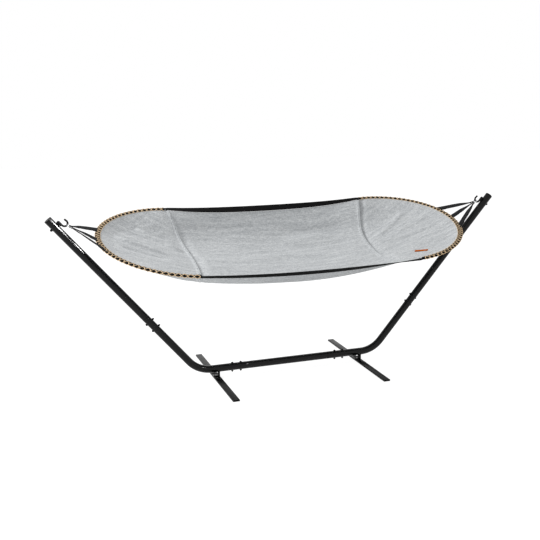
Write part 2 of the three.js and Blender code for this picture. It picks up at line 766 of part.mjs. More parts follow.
strapRimAngles.forEach((rimAngle, i) => {
  const rimCentre = rimPoint(rimAngle).applyMatrix4(bed.matrixWorld);
  const toRim = rimCentre.clone().sub(ringCentre);
  const ringAngle = Math.atan2(toRim.y, toRim.dot(pull));
  const outward = pull.clone().multiplyScalar(Math.cos(ringAngle)).add(vec(0, Math.sin(ringAngle), 0));
  const tangent = pull.clone().multiplyScalar(-Math.sin(ringAngle)).add(vec(0, Math.cos(ringAngle), 0));
  const onRing = ringCentre.clone().addScaledVector(outward, ringRadius);
  const run = rimCentre.clone().sub(onRing);
  const along = run.clone().normalize();
  const across = tangent.addScaledVector(along, -tangent.dot(along)).normalize();
  const thick = along.clone().cross(across);
  const eyeCentre = onRing.clone().addScaledVector(along, strapHoleShift);
  const rimAlong = rimTangent(rimAngle).transformDirection(bed.matrixWorld);
  const slant = rimAlong.dot(along) / rimAlong.dot(across);
  const squareness = Math.sqrt(1 - rimAlong.dot(along) ** 2);
  const length = run.length() - rimOuterRadius / squareness - strapHoleShift;
  const flat = new THREE.ExtrudeGeometry(strapShape(length), { depth: 1, bevelEnabled: false, curveSegments: 6 });
  const position = flat.getAttribute("position");
  for (let k = 0; k < position.count; k++) {
    const square = position.getX(k);
    const side = (position.getZ(k) - 0.5) * 2 * strapHalfWidth(square);
    const reach = square > length - strapThickness ? square + side * slant : square;
    const point = eyeCentre
      .clone()
      .addScaledVector(along, reach)
      .addScaledVector(thick, position.getY(k))
      .addScaledVector(across, side);
    position.setXYZ(k, point.x, point.y, point.z);
  }
  const faces = Array.from({ length: position.count / 3 }, (_, f) => [3 * f, 3 * f + 1, 3 * f + 2]);
  const corners = Array.from({ length: position.count }, (_, k) => vec(0, 0, 0).fromBufferAttribute(position, k));
  addToBothEnds(`strap_${i + 1}`, closedBody(corners, faces), "webbing");
});

// The label: a blank woven tab sewn on the right end panel beside the near rim, lying on its cloth
const clothBelow = new THREE.Raycaster();
const endCloth = new THREE.Mesh(rightEndPanel);
const labelGrid = spread(6).map((along) =>
  spread(3).map((place) => {
    const reach = (along * labelLength) / 2;
    const side = (place * labelWidth) / 2;
    const x = seamReach + seamToLabel + reach * Math.cos(labelTurn) - side * Math.sin(labelTurn);
    const y = labelY + reach * Math.sin(labelTurn) + side * Math.cos(labelTurn);
    clothBelow.set(vec(x, y, centreDepth), vec(0, 0, -1));
    const [touch] = clothBelow.intersectObject(endCloth);
    return touch.point.addScaledVector(touch.face.normal, labelThickness + clearance);
  }),
);
addPiece(bed, "label_tab", sheet(labelGrid, labelThickness), "label");

export default hammock;
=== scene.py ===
# A hammock on a free-standing frame of bent steel tube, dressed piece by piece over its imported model.
# The sections follow the order in which it is put together: frame, feet, hooks, rings, then the bed.
import math

import bmesh
import bpy
from mathutils import Matrix, Quaternion, Vector, noise


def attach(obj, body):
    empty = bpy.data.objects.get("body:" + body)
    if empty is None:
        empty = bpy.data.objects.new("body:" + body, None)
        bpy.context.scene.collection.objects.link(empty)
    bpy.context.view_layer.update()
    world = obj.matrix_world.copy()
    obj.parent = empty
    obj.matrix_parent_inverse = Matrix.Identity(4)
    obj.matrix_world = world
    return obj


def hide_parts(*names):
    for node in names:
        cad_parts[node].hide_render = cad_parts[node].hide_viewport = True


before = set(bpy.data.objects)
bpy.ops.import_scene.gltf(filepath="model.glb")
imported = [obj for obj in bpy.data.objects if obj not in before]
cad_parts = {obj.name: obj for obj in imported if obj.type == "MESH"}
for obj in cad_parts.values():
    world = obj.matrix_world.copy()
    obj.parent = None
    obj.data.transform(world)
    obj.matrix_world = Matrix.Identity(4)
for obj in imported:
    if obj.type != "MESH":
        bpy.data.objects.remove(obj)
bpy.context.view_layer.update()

# The camera stands to the left of the hammock and a little above its bed, and looks slightly down.
# Its picture is square, and it is turned a fraction of a degree on its side.
camera_place = Vector((-1.9011, -5.0732, 1.9313))
camera_yaw = math.radians(19.2213)
camera_pitch = math.radians(12.8174)
camera_roll = math.radians(-0.2968)
ahead = Vector((
    math.sin(camera_yaw) * math.cos(camera_pitch),
    math.cos(camera_yaw) * math.cos(camera_pitch),
    -math.sin(camera_pitch),
))
level = Vector((math.cos(camera_yaw), -math.sin(camera_yaw), 0))
above = level.cross(ahead)
camera_right = level * math.cos(camera_roll) + above * math.sin(camera_roll)
camera_up = above * math.cos(camera_roll) - level * math.sin(camera_roll)
camera = bpy.data.objects.new("camera", bpy.data.cameras.new("camera"))
camera.data.sensor_width = 36
camera.data.lens = 54.714
turn = Matrix((camera_right, camera_up, -ahead)).transposed().to_4x4()
camera.matrix_world = Matrix.Translation(camera_place) @ turn
bpy.context.scene.collection.objects.link(camera)
bpy.context.scene.camera = camera
bpy.context.scene.view_settings.view_transform = "Standard"

# The studio is a white room: an even soft light from all round and a large soft lamp on the left. Two long
# panels on the right only draw the bright lines on the gloss. The floor is pale and keeps the shadow.
even_light = 0.7


def add_node(tree, kind, inputs, **settings):
    """Adds a shader node. An input that is another node's output is linked, and any other is set."""
    made = tree.nodes.new("ShaderNode" + kind)
    for setting, value in settings.items():
        setattr(made, setting, value)
    for socket, value in inputs.items():
        if isinstance(value, bpy.types.NodeSocket):
            tree.links.new(value, made.inputs[socket])
        else:
            made.inputs[socket].default_value = value
    return made


def seen_directly(tree):
    """1 for a ray from the camera, off gloss or through glass, and 0 for one that only brings light."""
    path = add_node(tree, "LightPath", {})
    inputs = {0: path.outputs["Is Camera Ray"], 1: path.outputs["Is Glossy Ray"]}
    camera_or_gloss = add_node(tree, "Math", inputs, operation="MAXIMUM")
    inputs = {0: camera_or_gloss.outputs[0], 1: path.outputs["Is Transmission Ray"]}
    return add_node(tree, "Math", inputs, operation="MAXIMUM").outputs[0]


world = bpy.data.worlds.new("white_room")
world.use_nodes = True
bpy.context.scene.world = world
room = world.node_tree.nodes["Background"]
room.inputs["Color"].default_value = (1, 1, 1, 1)
room_inputs = {"Value": seen_directly(world.node_tree), "To Min": even_light, "To Max": 1.0}
room_level = add_node(world.node_tree, "MapRange", room_inputs)
world.node_tree.links.new(room_level.outputs[0], room.inputs["Strength"])


def add_lamp(name, place, target, size, power, roll=0.0):
    """A rectangular lamp that faces its target, turned by its roll about that line."""
    lamp = bpy.data.objects.new(name, bpy.data.lights.new(name, "AREA"))
    lamp.data.shape = "RECTANGLE"
    lamp.data.size, lamp.data.size_y = size
    lamp.data.energy = power
    lamp.location = place
    aim = (Vector(target) - Vector(place)).to_track_quat("-Z", "Y")
    lamp.rotation_euler = (aim @ Quaternion((0, 0, 1), roll)).to_euler()
    bpy.context.scene.collection.objects.link(lamp)
    return lamp


bed_middle = (0, 0, 0.9)
left_lamp_place = (-4.4, 1.4, 4.4)
left_lamp_size = (1.6, 1.6)
left_lamp_power = 225
add_lamp("left_lamp", left_lamp_place, bed_middle, left_lamp_size, left_lamp_power)
panel_target = Vector((-1.497, -0.021, 1.087))
panel_place = Vector((1.687, -1.666, 2.864))
panel_above = Vector((-0.395, 0.204, 0.896))
panel_size = (2.7, 0.06)
panel_power = 14
panel_roll = math.radians(17.8)
panel_spread = math.radians(50)
for name, height in (("upper_gloss_panel", 0.0), ("lower_gloss_panel", -0.315)):
    lift = panel_above * height
    panel = add_lamp(name, panel_place + lift, panel_target + lift, panel_size, panel_power, panel_roll)
    panel.data.spread = panel_spread
    panel.visible_diffuse = False

bpy.ops.object.select_all(action="DESELECT")
bpy.ops.mesh.primitive_plane_add(size=30, location=(0, 0, -0.001))
floor = bpy.context.object
floor.name = "floor"
floor_finish = bpy.data.materials.new("pale_floor")
floor_finish.use_nodes = True
floor_tree = floor_finish.node_tree
floor_shader = floor_tree.nodes["Principled BSDF"]
floor_shader.inputs["Base Color"].default_value = (0.9, 0.9, 0.9, 1)
floor_shader.inputs["Roughness"].default_value = 0.9
floor_shader.inputs["Specular IOR Level"].default_value = 0.0
floor_glow = add_node(floor_tree, "Emission", {"Color": (1, 1, 1, 1), "Strength": 1.25})
glow_inputs = {"Value": seen_directly(floor_tree), "To Min": 0.0, "To Max": 0.72}
glow_share = add_node(floor_tree, "MapRange", glow_inputs)
mix_inputs = {0: glow_share.outputs[0], 1: floor_shader.outputs[0], 2: floor_glow.outputs[0]}
floor_mix = add_node(floor_tree, "MixShader", mix_inputs)
floor_tree.links.new(floor_mix.outputs[0], floor_tree.nodes["Material Output"].inputs["Surface"])
floor.data.materials.append(floor_finish)

# The frame is round steel tube, powder coated glossy black, in five parts: a base tube, two elbows and two
# upper tubes. The base and upper tubes are swaged at their ends and slide into the elbows, where two bolts
# go through each joint.
clearance = 0.0003
tube_radius = 0.025
tube_wall = 0.002
tube_sides = 56
axis_height = 0.06
bend_corner = Vector((0.6445, 0, axis_height))
upper_tilt = math.radians(49.7)
bend_radius = 0.2
base_half = 0.288
elbow_upper_reach = 0.528
upper_tube_reach = 1.4
spigot_length = 0.15
bolt_radius = 0.004
bolt_spacing = 0.06
base_bolt_inset = 0.059
upper_bolt_inset = 0.043
hook_reach = upper_tube_reach - 0.055
hook_shank_radius = 0.005
upward = Vector((0, 0, 1))
base_direction = Vector((1, 0, 0))
upper_direction = Vector((math.cos(upper_tilt), 0, math.sin(upper_tilt)))
upper_inward = Vector((-math.sin(upper_tilt), 0, math.cos(upper_tilt)))


def on_base(x):
    """A point on the middle line of the base tube."""
    return Vector((x, 0, axis_height))


def on_upper(reach):
    """A point on the middle line of the right upper tube, by its distance from the corner of the bend."""
    return bend_corner + upper_direction * reach


base_bolts = [on_base(base_half + base_bolt_inset + step * bolt_spacing) for step in (0, 1)]
upper_bolts = [on_upper(elbow_upper_reach - upper_bolt_inset - step * bolt_spacing) for step in (0, 1)]
hook_seat = on_upper(hook_reach)


def select_only(*pieces):
    bpy.ops.object.select_all(action="DESELECT")
    for piece in pieces:
        piece.select_set(True)
    bpy.context.view_layer.objects.active = pieces[0]


def add_primitive(add, **settings):
    """Adds a primitive by itself and moves its place into its mesh."""
    bpy.ops.object.select_all(action="DESELECT")
    add(**settings)
    bpy.ops.object.transform_apply(location=True, rotation=True, scale=True)
    return bpy.context.object


def facing(direction):
    """The rotation that turns +Z to a direction."""
    return Vector(direction).to_track_quat("Z", "Y").to_euler()


def face_out(piece):
    """Turns the faces of a closed piece outwards, by the sign of the room that it encloses."""
    shape = bmesh.new()
    shape.from_mesh(piece.data)
    if shape.calc_volume(signed=True) < 0:
        bmesh.ops.reverse_faces(shape, faces=shape.faces)
    shape.to_mesh(piece.data)
    shape.free()


def apply_modifier(piece, kind, **settings):
    select_only(piece)
    modifier = piece.modifiers.new(kind, kind)
    for setting, value in settings.items():
        setattr(modifier, setting, value)
    bpy.ops.object.modifier_apply(modifier=modifier.name)


def soften_edges(piece, width, segments=2):
    """Rounds the edges where two faces meet at more than 50 degrees."""
    sharp = math.radians(50)
    apply_modifier(piece, "BEVEL", width=width, segments=segments, limit_method="ANGLE", angle_limit=sharp)


def smooth(piece, degrees=40):
    select_only(piece)
    bpy.ops.object.shade_smooth_by_angle(angle=math.radians(degrees))


def add_block(size, at, tilt=0.0):
    """A block of a given (length, width, height), turned up by its tilt."""
    cube = bpy.ops.mesh.primitive_cube_add
    return add_primitive(cube, size=1, location=at, rotation=(0, -tilt, 0), scale=size)


def add_bar(sides, radius, depth, at, rotation=(0, 0, 0)):
    """A round or many-sided bar, centred on a point."""
    add = bpy.ops.mesh.primitive_cylinder_add
    return add_primitive(add, vertices=sides, radius=radius, depth=depth, location=at, rotation=rotation)


def combine(piece, *tools, operation="DIFFERENCE"):
    """Cuts each tool out of a piece, or welds it on, and takes the tool away."""
    for tool in tools:
        apply_modifier(piece, "BOOLEAN", operation=operation, solver="EXACT", object=tool)
        bpy.data.objects.remove(tool)


def add_ring(sides, radius, at, along):
    """A ring of edges square to a direction, selected in edit mode and ready to be drawn out."""
    circle = bpy.ops.mesh.primitive_circle_add
    piece = add_primitive(circle, vertices=sides, radius=radius, location=at, rotation=facing(along))
    bpy.ops.object.mode_set(mode="EDIT")
    bpy.ops.mesh.select_all(action="SELECT")
    return piece


def draw_out(move, scale=1.0, centre=(0, 0, 0)):
    """Extrudes the selected ring, then widens or narrows it about its new centre."""
    bpy.ops.mesh.extrude_region_move(TRANSFORM_OT_translate={"value": move})
    if scale != 1.0:
        bpy.ops.transform.resize(value=(scale, scale, scale), center_override=centre)


def turned(profile, sides, at, axis):
    """A round piece drawn up ring by ring from (radius, place along its axis).
    Where the last ring is the first one again it is a sleeve, and otherwise both ends are filled."""
    axis = Vector(axis).normalized()
    radius, place = profile[0]
    piece = add_ring(sides, radius, at + axis * place, axis)
    for next_radius, next_place in profile[1:]:
        draw_out(axis * (next_place - place), next_radius / radius, at + axis * next_place)
        radius, place = next_radius, next_place
    bpy.ops.mesh.select_all(action="SELECT")
    bpy.ops.mesh.remove_doubles(threshold=1e-6)
    bpy.ops.mesh.select_all(action="SELECT")
    bpy.ops.mesh.fill_holes(sides=0)
    bpy.ops.object.mode_set(mode="OBJECT")
    face_out(piece)
    return piece


def drill(at, direction, radius):
    """A bar that cuts the hole for a bolt, with room round it."""
    return add_bar(24, radius + clearance, 4 * tube_radius, at, facing(direction))


def copied(piece, place):
    """A copy with its own mesh, moved by a matrix. A mirrored copy has its faces turned back outwards."""
    twin = piece.copy()
    twin.data = piece.data.copy()
    bpy.context.scene.collection.objects.link(twin)
    twin.data.transform(place)
    if place.determinant() < 0:
        twin.data.flip_normals()
    return twin


def fit(piece, node, body, finish):
    """Puts a finished piece in the place of the CAD node that it stands for, on the same body."""
    piece.name = node + "_shape"
    piece.data.materials.clear()
    piece.data.materials.append(finish)
    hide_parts(node)
    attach(piece, body)


mirror = Matrix.Scale(-1, 4, base_direction)


def fit_both_ends(piece, node, body, finish):
    """Fits a piece of the right end, and its mirror copy at the left end."""
    fit(copied(piece, mirror), "left_" + node, body, finish)
    fit(piece, "right_" + node, body, finish)


def new_finish(name, **constants):
    """A material whose named sockets are set, with its node tree and the coordinates on the object."""
    material = bpy.data.materials.new(name)
    material.use_nodes = True
    shader = material.node_tree.nodes["Principled BSDF"]
    for socket, value in constants.items():
        shader.inputs[socket.replace("_", " ").title().replace("Ior", "IOR")].default_value = value
    place = add_node(material.node_tree, "TexCoord", {})
    return material, material.node_tree, shader, place


def add_noise(tree, vector, scale, detail=2.0, roughness=0.5):
    inputs = {"Vector": vector, "Scale": scale, "Detail": detail, "Roughness": roughness}
    return add_node(tree, "TexNoise", inputs).outputs[0]


def add_range(tree, value, low, high, from_low=0.3, from_high=0.7):
    inputs = {"Value": value, "From Min": from_low, "From Max": from_high, "To Min": low, "To Max": high}
    return add_node(tree, "MapRange", inputs).outputs[0]


def paint(tree, shader, value, *stops):
    """Colours a finish by a ramp over (place, colour) stops."""
    ramp = add_node(tree, "ValToRGB", {0: value})
    while len(ramp.color_ramp.elements) < len(stops):
        ramp.color_ramp.elements.new(0.5)
    for element, (position, colour) in zip(ramp.color_ramp.elements, stops):
        element.position = position
        element.color = (*colour, 1)
    tree.links.new(ramp.outputs[0], shader.inputs["Base Color"])


def roughen(tree, shader, value, low, high):
    tree.links.new(add_range(tree, value, low, high), shader.inputs["Roughness"])


def add_bump(tree, shader, height, strength, distance):
    bump = add_node(tree, "Bump", {"Height": height, "Strength": strength, "Distance": distance})
    tree.links.new(bump.outputs[0], shader.inputs["Normal"])


def new_powder_coat(name, specular, mottle_scale, low_roughness, high_roughness, grain):
    """A black powder coat, faintly mottled, with the fine grain of sprayed powder."""
    material, tree, shader, place = new_finish(name, specular_ior_level=specular)
    mottle = add_noise(tree, place.outputs["Object"], mottle_scale, 3)
    paint(tree, shader, mottle, (0.3, (0.0018, 0.0018, 0.002)), (0.7, (0.0035, 0.0035, 0.0038)))
    roughen(tree, shader, mottle, low_roughness, high_roughness)
    add_bump(tree, shader, add_noise(tree, place.outputs["Object"], 260, 1), grain, 0.0001)
    return material


powder_coat = new_powder_coat("powder_coat", 0.2, 9, 0.09, 0.13, 0.03)

spigot_radius = tube_radius - tube_wall - clearance
spigot_bore = spigot_radius - tube_wall
shoulder = 0.0012
spigot_end = base_half + spigot_length
base_profile = [
    (spigot_bore, -spigot_end),
    (spigot_radius, -spigot_end),
    (spigot_radius, -base_half),
    (tube_radius - shoulder, -base_half),
    (tube_radius, -base_half + shoulder),
    (tube_radius, base_half - shoulder),
    (tube_radius - shoulder, base_half),
    (spigot_radius, base_half),
    (spigot_radius, spigot_end),
    (spigot_bore, spigot_end),
    (spigot_bore, -spigot_end),
]
base_tube = turned(base_profile, tube_sides, on_base(0), base_direction)
base_drills = [drill(at, upward, bolt_radius) for at in base_bolts]
base_drills += [copied(tool, mirror) for tool in base_drills]
combine(base_tube, *base_drills)
smooth(base_tube)
fit(base_tube, "base_tube", "stand", powder_coat)

bend_tangent = bend_radius * math.tan(upper_tilt / 2)
bend_start = bend_corner.x - bend_tangent
bend_end = on_upper(bend_tangent)
hole_margin = 0.012
beside_hole = (-hole_margin, hole_margin)
elbow_start = on_base(base_half + clearance)
elbow_stops = [on_base(at.x + gap) for at in base_bolts for gap in beside_hole]
elbow = add_ring(tube_sides, tube_radius, elbow_start, base_direction)
for here, there in zip([elbow_start] + elbow_stops, elbow_stops + [on_base(bend_start)]):
    draw_out(there - here)
bend_centre = on_base(bend_start) + upward * bend_radius
bpy.ops.mesh.spin(steps=20, angle=upper_tilt, center=bend_centre, axis=(0, 1, 0))
elbow_end = on_upper(elbow_upper_reach - clearance)
elbow_stops = [at + upper_direction * gap for at in reversed(upper_bolts) for gap in beside_hole]
for here, there in zip([bend_end] + elbow_stops, elbow_stops + [elbow_end]):
    draw_out(there - here)
bpy.ops.mesh.select_all(action="SELECT")
bpy.ops.mesh.remove_doubles(threshold=1e-6)
bpy.ops.mesh.select_all(action="SELECT")
bpy.ops.mesh.normals_make_consistent(inside=False)
bpy.ops.object.mode_set(mode="OBJECT")
apply_modifier(elbow, "SOLIDIFY", thickness=tube_wall, offset=-1)
soften_edges(elbow, 0.0006)
combine(elbow, *[drill(at, upward, bolt_radius) for at in base_bolts])
combine(elbow, *[drill(at, upper_inward, bolt_radius) for at in upper_bolts])
face_out(elbow)
smooth(elbow)
fit_both_ends(elbow, "elbow_tube", "stand", powder_coat)

upper_length = upper_tube_reach - elbow_upper_reach
hook_place = hook_reach - elbow_upper_reach
upper_profile = [
    (spigot_bore, -spigot_length),
    (spigot_radius, -spigot_length),
    (spigot_radius, 0),
    (tube_radius - shoulder, 0),
    (tube_radius, shoulder),
    (tube_radius, hook_place - hole_margin),
    (tube_radius, hook_place + hole_margin),
    (tube_radius, upper_length),
    (tube_radius - tube_wall, upper_length),
    (tube_radius - tube_wall, 0),
    (spigot_bore, 0),
    (spigot_bore, -spigot_length),
]
upper_tube = turned(upper_profile, tube_sides, on_upper(elbow_upper_reach), upper_direction)
combine(upper_tube, *[drill(at, upper_inward, bolt_radius) for at in upper_bolts])
combine(upper_tube, drill(hook_seat, upper_inward, hook_shank_radius))
smooth(upper_tube)
fit_both_ends(upper_tube, "upper_tube", "stand", powder_coat)

# The end caps are moulded black plastic: a disc as wide as the tube with a rounded edge, on a ribbed plug
# that is pressed into the bore.
black_plastic, tree, shader, place = new_finish("black_plastic", specular_ior_level=0.18)
grain = add_noise(tree, place.outputs["Object"], 1400, 2)
paint(tree, shader, grain, (0.3, (0.002, 0.002, 0.0022)), (0.7, (0.005, 0.005, 0.0055)))
roughen(tree, shader, grain, 0.42, 0.58)
add_bump(tree, shader, grain, 0.2, 0.0003)

cap_thickness = 0.008
plug_radius = tube_radius - tube_wall - clearance
groove_radius = plug_radius - 0.0008
dish_height = cap_thickness - 0.0005
cap_profile = [(plug_radius - 0.001, -0.022), (plug_radius, -0.018)]
for rib in range(3):
    start = -0.016 + rib * 0.004
    cap_profile += [(plug_radius, start), (groove_radius, start + 0.001), (groove_radius, start + 0.002)]
cap_profile += [(plug_radius, -0.003), (plug_radius, 0), (tube_radius - 0.0004, 0), (tube_radius, 0.0004)]
edge_radius = 0.0028
for step in range(7):
    angle = math.pi / 2 * step / 6
    ring = tube_radius - edge_radius + edge_radius * math.cos(angle)
    cap_profile.append((ring, cap_thickness - edge_radius + edge_radius * math.sin(angle)))
cap_profile += [(0.014, cap_thickness), (0.0134, dish_height), (0.004, dish_height)]
end_cap = turned(cap_profile, tube_sides, on_upper(upper_tube_reach + clearance), upper_direction)
smooth(end_cap)
fit_both_ends(end_cap, "end_cap", "stand", black_plastic)

# Two blackened steel bolts go through each joint of the frame. Each has a low domed head with a hexagon
# socket on one side of the tube, and a domed cap nut on the other.
blackened_steel, tree, shader, place = new_finish("blackened_steel", specular_ior_level=0.13)
stain = add_noise(tree, place.outputs["Object"], 120, 4)
paint(tree, shader, stain, (0.3, (0.002, 0.002, 0.0022)), (0.72, (0.007, 0.007, 0.0075)))
roughen(tree, shader, stain, 0.3, 0.5)
add_bump(tree, shader, add_noise(tree, place.outputs["Object"], 1600, 2), 0.1, 0.0002)


def domed(radius, seat, height, steps=6):
    """The outline of a domed end from its rim to near its crown."""
    rim = height * 0.35
    outline = [(radius, seat), (radius, seat + rim)]
    for step in range(1, steps + 1):
        angle = math.radians(75) * step / steps
        outline.append((radius * math.cos(angle), seat + rim + (height - rim) * math.sin(angle)))
    return outline


head_seat = tube_radius + clearance
shank_end = 0.033
head_radius = 0.008
head_height = 0.008
bolt_profile = [
    (bolt_radius - 0.0006, -shank_end),
    (bolt_radius, -shank_end + 0.0006),
    (bolt_radius, head_seat),
    *domed(head_radius, head_seat, head_height),
]
joint_bolt = turned(bolt_profile, 32, Vector(), upward)
socket_radius = 0.0029
socket_depth = 0.008
combine(joint_bolt, add_bar(6, socket_radius, socket_depth, (0, 0, head_seat + 0.0075)))
smooth(joint_bolt, 35)


def cap_nut(shank_radius, radius, height):
    """A hexagon with a domed cap on it, and a blind bore from below."""
    chamfer = radius * 0.94
    hexagon = [(chamfer, 0), (radius, 0.0006), (radius, height * 0.5), (chamfer, height * 0.55)]
    nut = turned(hexagon, 6, Vector(), upward)
    cap = turned(domed(radius * 0.84, 0.001, height - 0.001), 32, Vector(), upward)
    combine(nut, cap, operation="UNION")
    bore_radius = shank_radius + clearance
    combine(nut, turned([(bore_radius, -0.002), (bore_radius, height - 0.003)], 24, Vector(), upward))
    soften_edges(nut, 0.0003)
    smooth(nut, 35)
    return nut


nut_radius = 0.0075
nut_height = 0.012
joint_nut = cap_nut(bolt_radius, nut_radius, nut_height)


def stood(at, axis):
    """The matrix that stands a piece made along +Z on a point, pointed along an axis."""
    return Matrix.Translation(at) @ Vector(axis).to_track_quat("Z", "Y").to_matrix().to_4x4()


for row, bolts, head_way in (("base", base_bolts, upward), ("upper", upper_bolts, -upper_inward)):
    for number, at in enumerate(bolts, 1):
        bolt = copied(joint_bolt, stood(at, head_way))
        fit_both_ends(bolt, f"{row}_bolt_{number}", "stand", blackened_steel)
        nut = copied(joint_nut, stood(at - head_way * head_seat, -head_way))
        fit_both_ends(nut, f"{row}_nut_{number}", "stand", blackened_steel)
for pattern_piece in (joint_bolt, joint_nut):
    bpy.data.objects.remove(pattern_piece)

# Each foot is a flat bar of powder-coated steel across the frame. A folded saddle on it carries the tube,
# and a small bolt goes through both ends of the saddle under the tube.
foot_x = bend_start - 0.0303
foot_length = 0.946
foot_width = 0.045
foot_thickness = 0.011
foot_bar = add_block((foot_width, foot_length, foot_thickness), (foot_x, 0, foot_thickness / 2))
bpy.ops.object.mode_set(mode="EDIT")
bpy.ops.mesh.select_all(action="SELECT")
bpy.ops.mesh.subdivide(number_cuts=1)
bpy.ops.object.mode_set(mode="OBJECT")
soften_edges(foot_bar, 0.0018, 4)
smooth(foot_bar)
foot_coat = new_powder_coat("foot_powder_coat", 0.07, 14, 0.2, 0.3, 0.04)
fit_both_ends(foot_bar, "foot_bar", "stand", foot_coat)

saddle_length = 0.044
saddle_width = 0.049
saddle_plate = 0.004
saddle_bottom = foot_thickness + clearance
saddle_top = 0.047
foot_bolt_height = 0.025
saddle_middle = (saddle_bottom + saddle_top) / 2
foot_bolt_radius = 0.003
saddle_size = (saddle_length, saddle_width, saddle_top - saddle_bottom)
foot_saddle = add_block(saddle_size, (foot_x, 0, saddle_middle))
soften_edges(foot_saddle, 0.0012, 3)
seat_profile = [(tube_radius + clearance, -saddle_length), (tube_radius + clearance, saddle_length)]
seat_for_tube = turned(seat_profile, 96, on_base(foot_x), base_direction)
inside_size = (saddle_length - 2 * saddle_plate, 2 * saddle_width, axis_height)
inside = add_block(inside_size, (foot_x, 0, saddle_bottom + saddle_plate + axis_height / 2))
foot_bolt_at = Vector((foot_x, 0, foot_bolt_height))
combine(foot_saddle, seat_for_tube, inside, drill(foot_bolt_at, base_direction, foot_bolt_radius))
smooth(foot_saddle, 30)
fit_both_ends(foot_saddle, "foot_saddle", "stand", powder_coat)

foot_grip = saddle_length / 2 + clearance
foot_bolt_profile = [
    (foot_bolt_radius - 0.0005, -foot_grip - 0.006),
    (foot_bolt_radius, -foot_grip - 0.0055),
    (foot_bolt_radius, foot_grip),
    *domed(0.0054, foot_grip, 0.004),
]
foot_bolt = turned(foot_bolt_profile, 28, foot_bolt_at, -base_direction)
smooth(foot_bolt, 35)
fit_both_ends(foot_bolt, "foot_bolt", "stand", blackened_steel)


def chamfered(bore, radius, chamfer, bevel, height):
    """The outline of a nut or a washer, with both outer edges broken, closed round its bore."""
    return [
        (bore, 0),
        (radius - chamfer, 0),
        (radius, bevel),
        (radius, height - bevel),
        (radius - chamfer, height),
        (bore, height),
        (bore, 0),
    ]


foot_nut_radius = 0.006
foot_nut_height = 0.005
foot_nut_profile = chamfered(
    foot_bolt_radius + clearance, foot_nut_radius, chamfer=0.0004, bevel=0.0005, height=foot_nut_height
)
foot_nut = turned(foot_nut_profile, 6, foot_bolt_at + base_direction * foot_grip, base_direction)
smooth(foot_nut, 25)
fit_both_ends(foot_nut, "foot_nut", "stand", blackened_steel)

# Each hook is blackened steel: a J of round bar that opens upwards, forged to a flat block, on a shank
# that goes through a washer and the tube into a cap nut.
hook_wire = 0.0061
hook_radius = 0.0188
hook_standoff = 0.0392
hook_drop = 0.0217
hook_top_run = 0.012
hook_tip_run = 0.018
hook_sweep = math.radians(188)


def hook_point(inward, along):
    """A point beside the right hook's seat, by its distances square to the upper tube and along it."""
    return hook_seat + upper_inward * inward + upper_direction * along


hook_centre = hook_point(hook_standoff + hook_radius, -hook_drop)
hook_top = hook_point(hook_standoff, hook_top_run)
chamfer_rings = [(0.0, 0.5), (0.0004, 0.75), (0.0018, 1.0)]
hook = add_ring(24, hook_wire * chamfer_rings[0][1], hook_top, -upper_direction)
for (above_it, width), (depth, next_width) in zip(chamfer_rings, chamfer_rings[1:]):
    draw_out(-upper_direction * (depth - above_it), next_width / width, hook_top - upper_direction * depth)
draw_out(-upper_direction * (hook_top_run + hook_drop - chamfer_rings[-1][0]))
bpy.ops.mesh.spin(steps=32, angle=hook_sweep, center=hook_centre, axis=(0, -1, 0))
closing = hook_sweep - math.pi
tip_direction = upper_direction * math.cos(closing) - upper_inward * math.sin(closing)
towards_tip = upper_inward * math.cos(closing) + upper_direction * math.sin(closing)
tip_ring = hook_centre + towards_tip * hook_radius
dome_height = hook_wire * 0.8
tip_run = hook_tip_run - dome_height
draw_out(tip_direction * tip_run)
tip_ring = tip_ring + tip_direction * tip_run
dome_angles = [math.radians(76) * step / 5 for step in range(6)]
for before, angle in zip(dome_angles, dome_angles[1:]):
    rise = dome_height * (math.sin(angle) - math.sin(before))
    tip_ring = tip_ring + tip_direction * rise
    draw_out(tip_direction * rise, math.cos(angle) / math.cos(before), tip_ring)
bpy.ops.mesh.select_all(action="SELECT")
bpy.ops.mesh.remove_doubles(threshold=1e-6)
bpy.ops.mesh.select_all(action="SELECT")
bpy.ops.mesh.fill_holes(sides=0)
bpy.ops.object.mode_set(mode="OBJECT")
face_out(hook)
shank_profile = [
    (hook_shank_radius - 0.0006, -tube_radius - 0.009),
    (hook_shank_radius, -tube_radius - 0.0084),
    (hook_shank_radius, hook_standoff),
]
hook_shank = turned(shank_profile, 32, hook_seat, upper_inward)
block_low = tube_radius + 0.0026
block_high = hook_standoff + 0.002
block_size = (0.036, 0.014, block_high - block_low)
hook_block = add_block(block_size, hook_point((block_low + block_high) / 2, -0.002), upper_tilt)
soften_edges(hook_block, 0.002, 3)
combine(hook, hook_block, hook_shank, operation="UNION")
smooth(hook, 35)
fit_both_ends(hook, "hook", "stand", blackened_steel)

washer_radius = 0.015
washer_thickness = 0.0016
washer_profile = chamfered(
    hook_shank_radius + clearance, washer_radius, chamfer=0.0004, bevel=0.0004, height=washer_thickness
)
hook_washer = turned(washer_profile, 40, hook_point(tube_radius + clearance, 0), upper_inward)
smooth(hook_washer, 25)
fit_both_ends(hook_washer, "hook_washer", "stand", blackened_steel)
hook_nut_radius = 0.009
hook_nut = cap_nut(hook_shank_radius, hook_nut_radius, nut_height)
hook_nut.data.transform(stood(hook_point(-tube_radius - clearance, 0), -upper_inward))
fit_both_ends(hook_nut, "hook_nut", "stand", blackened_steel)

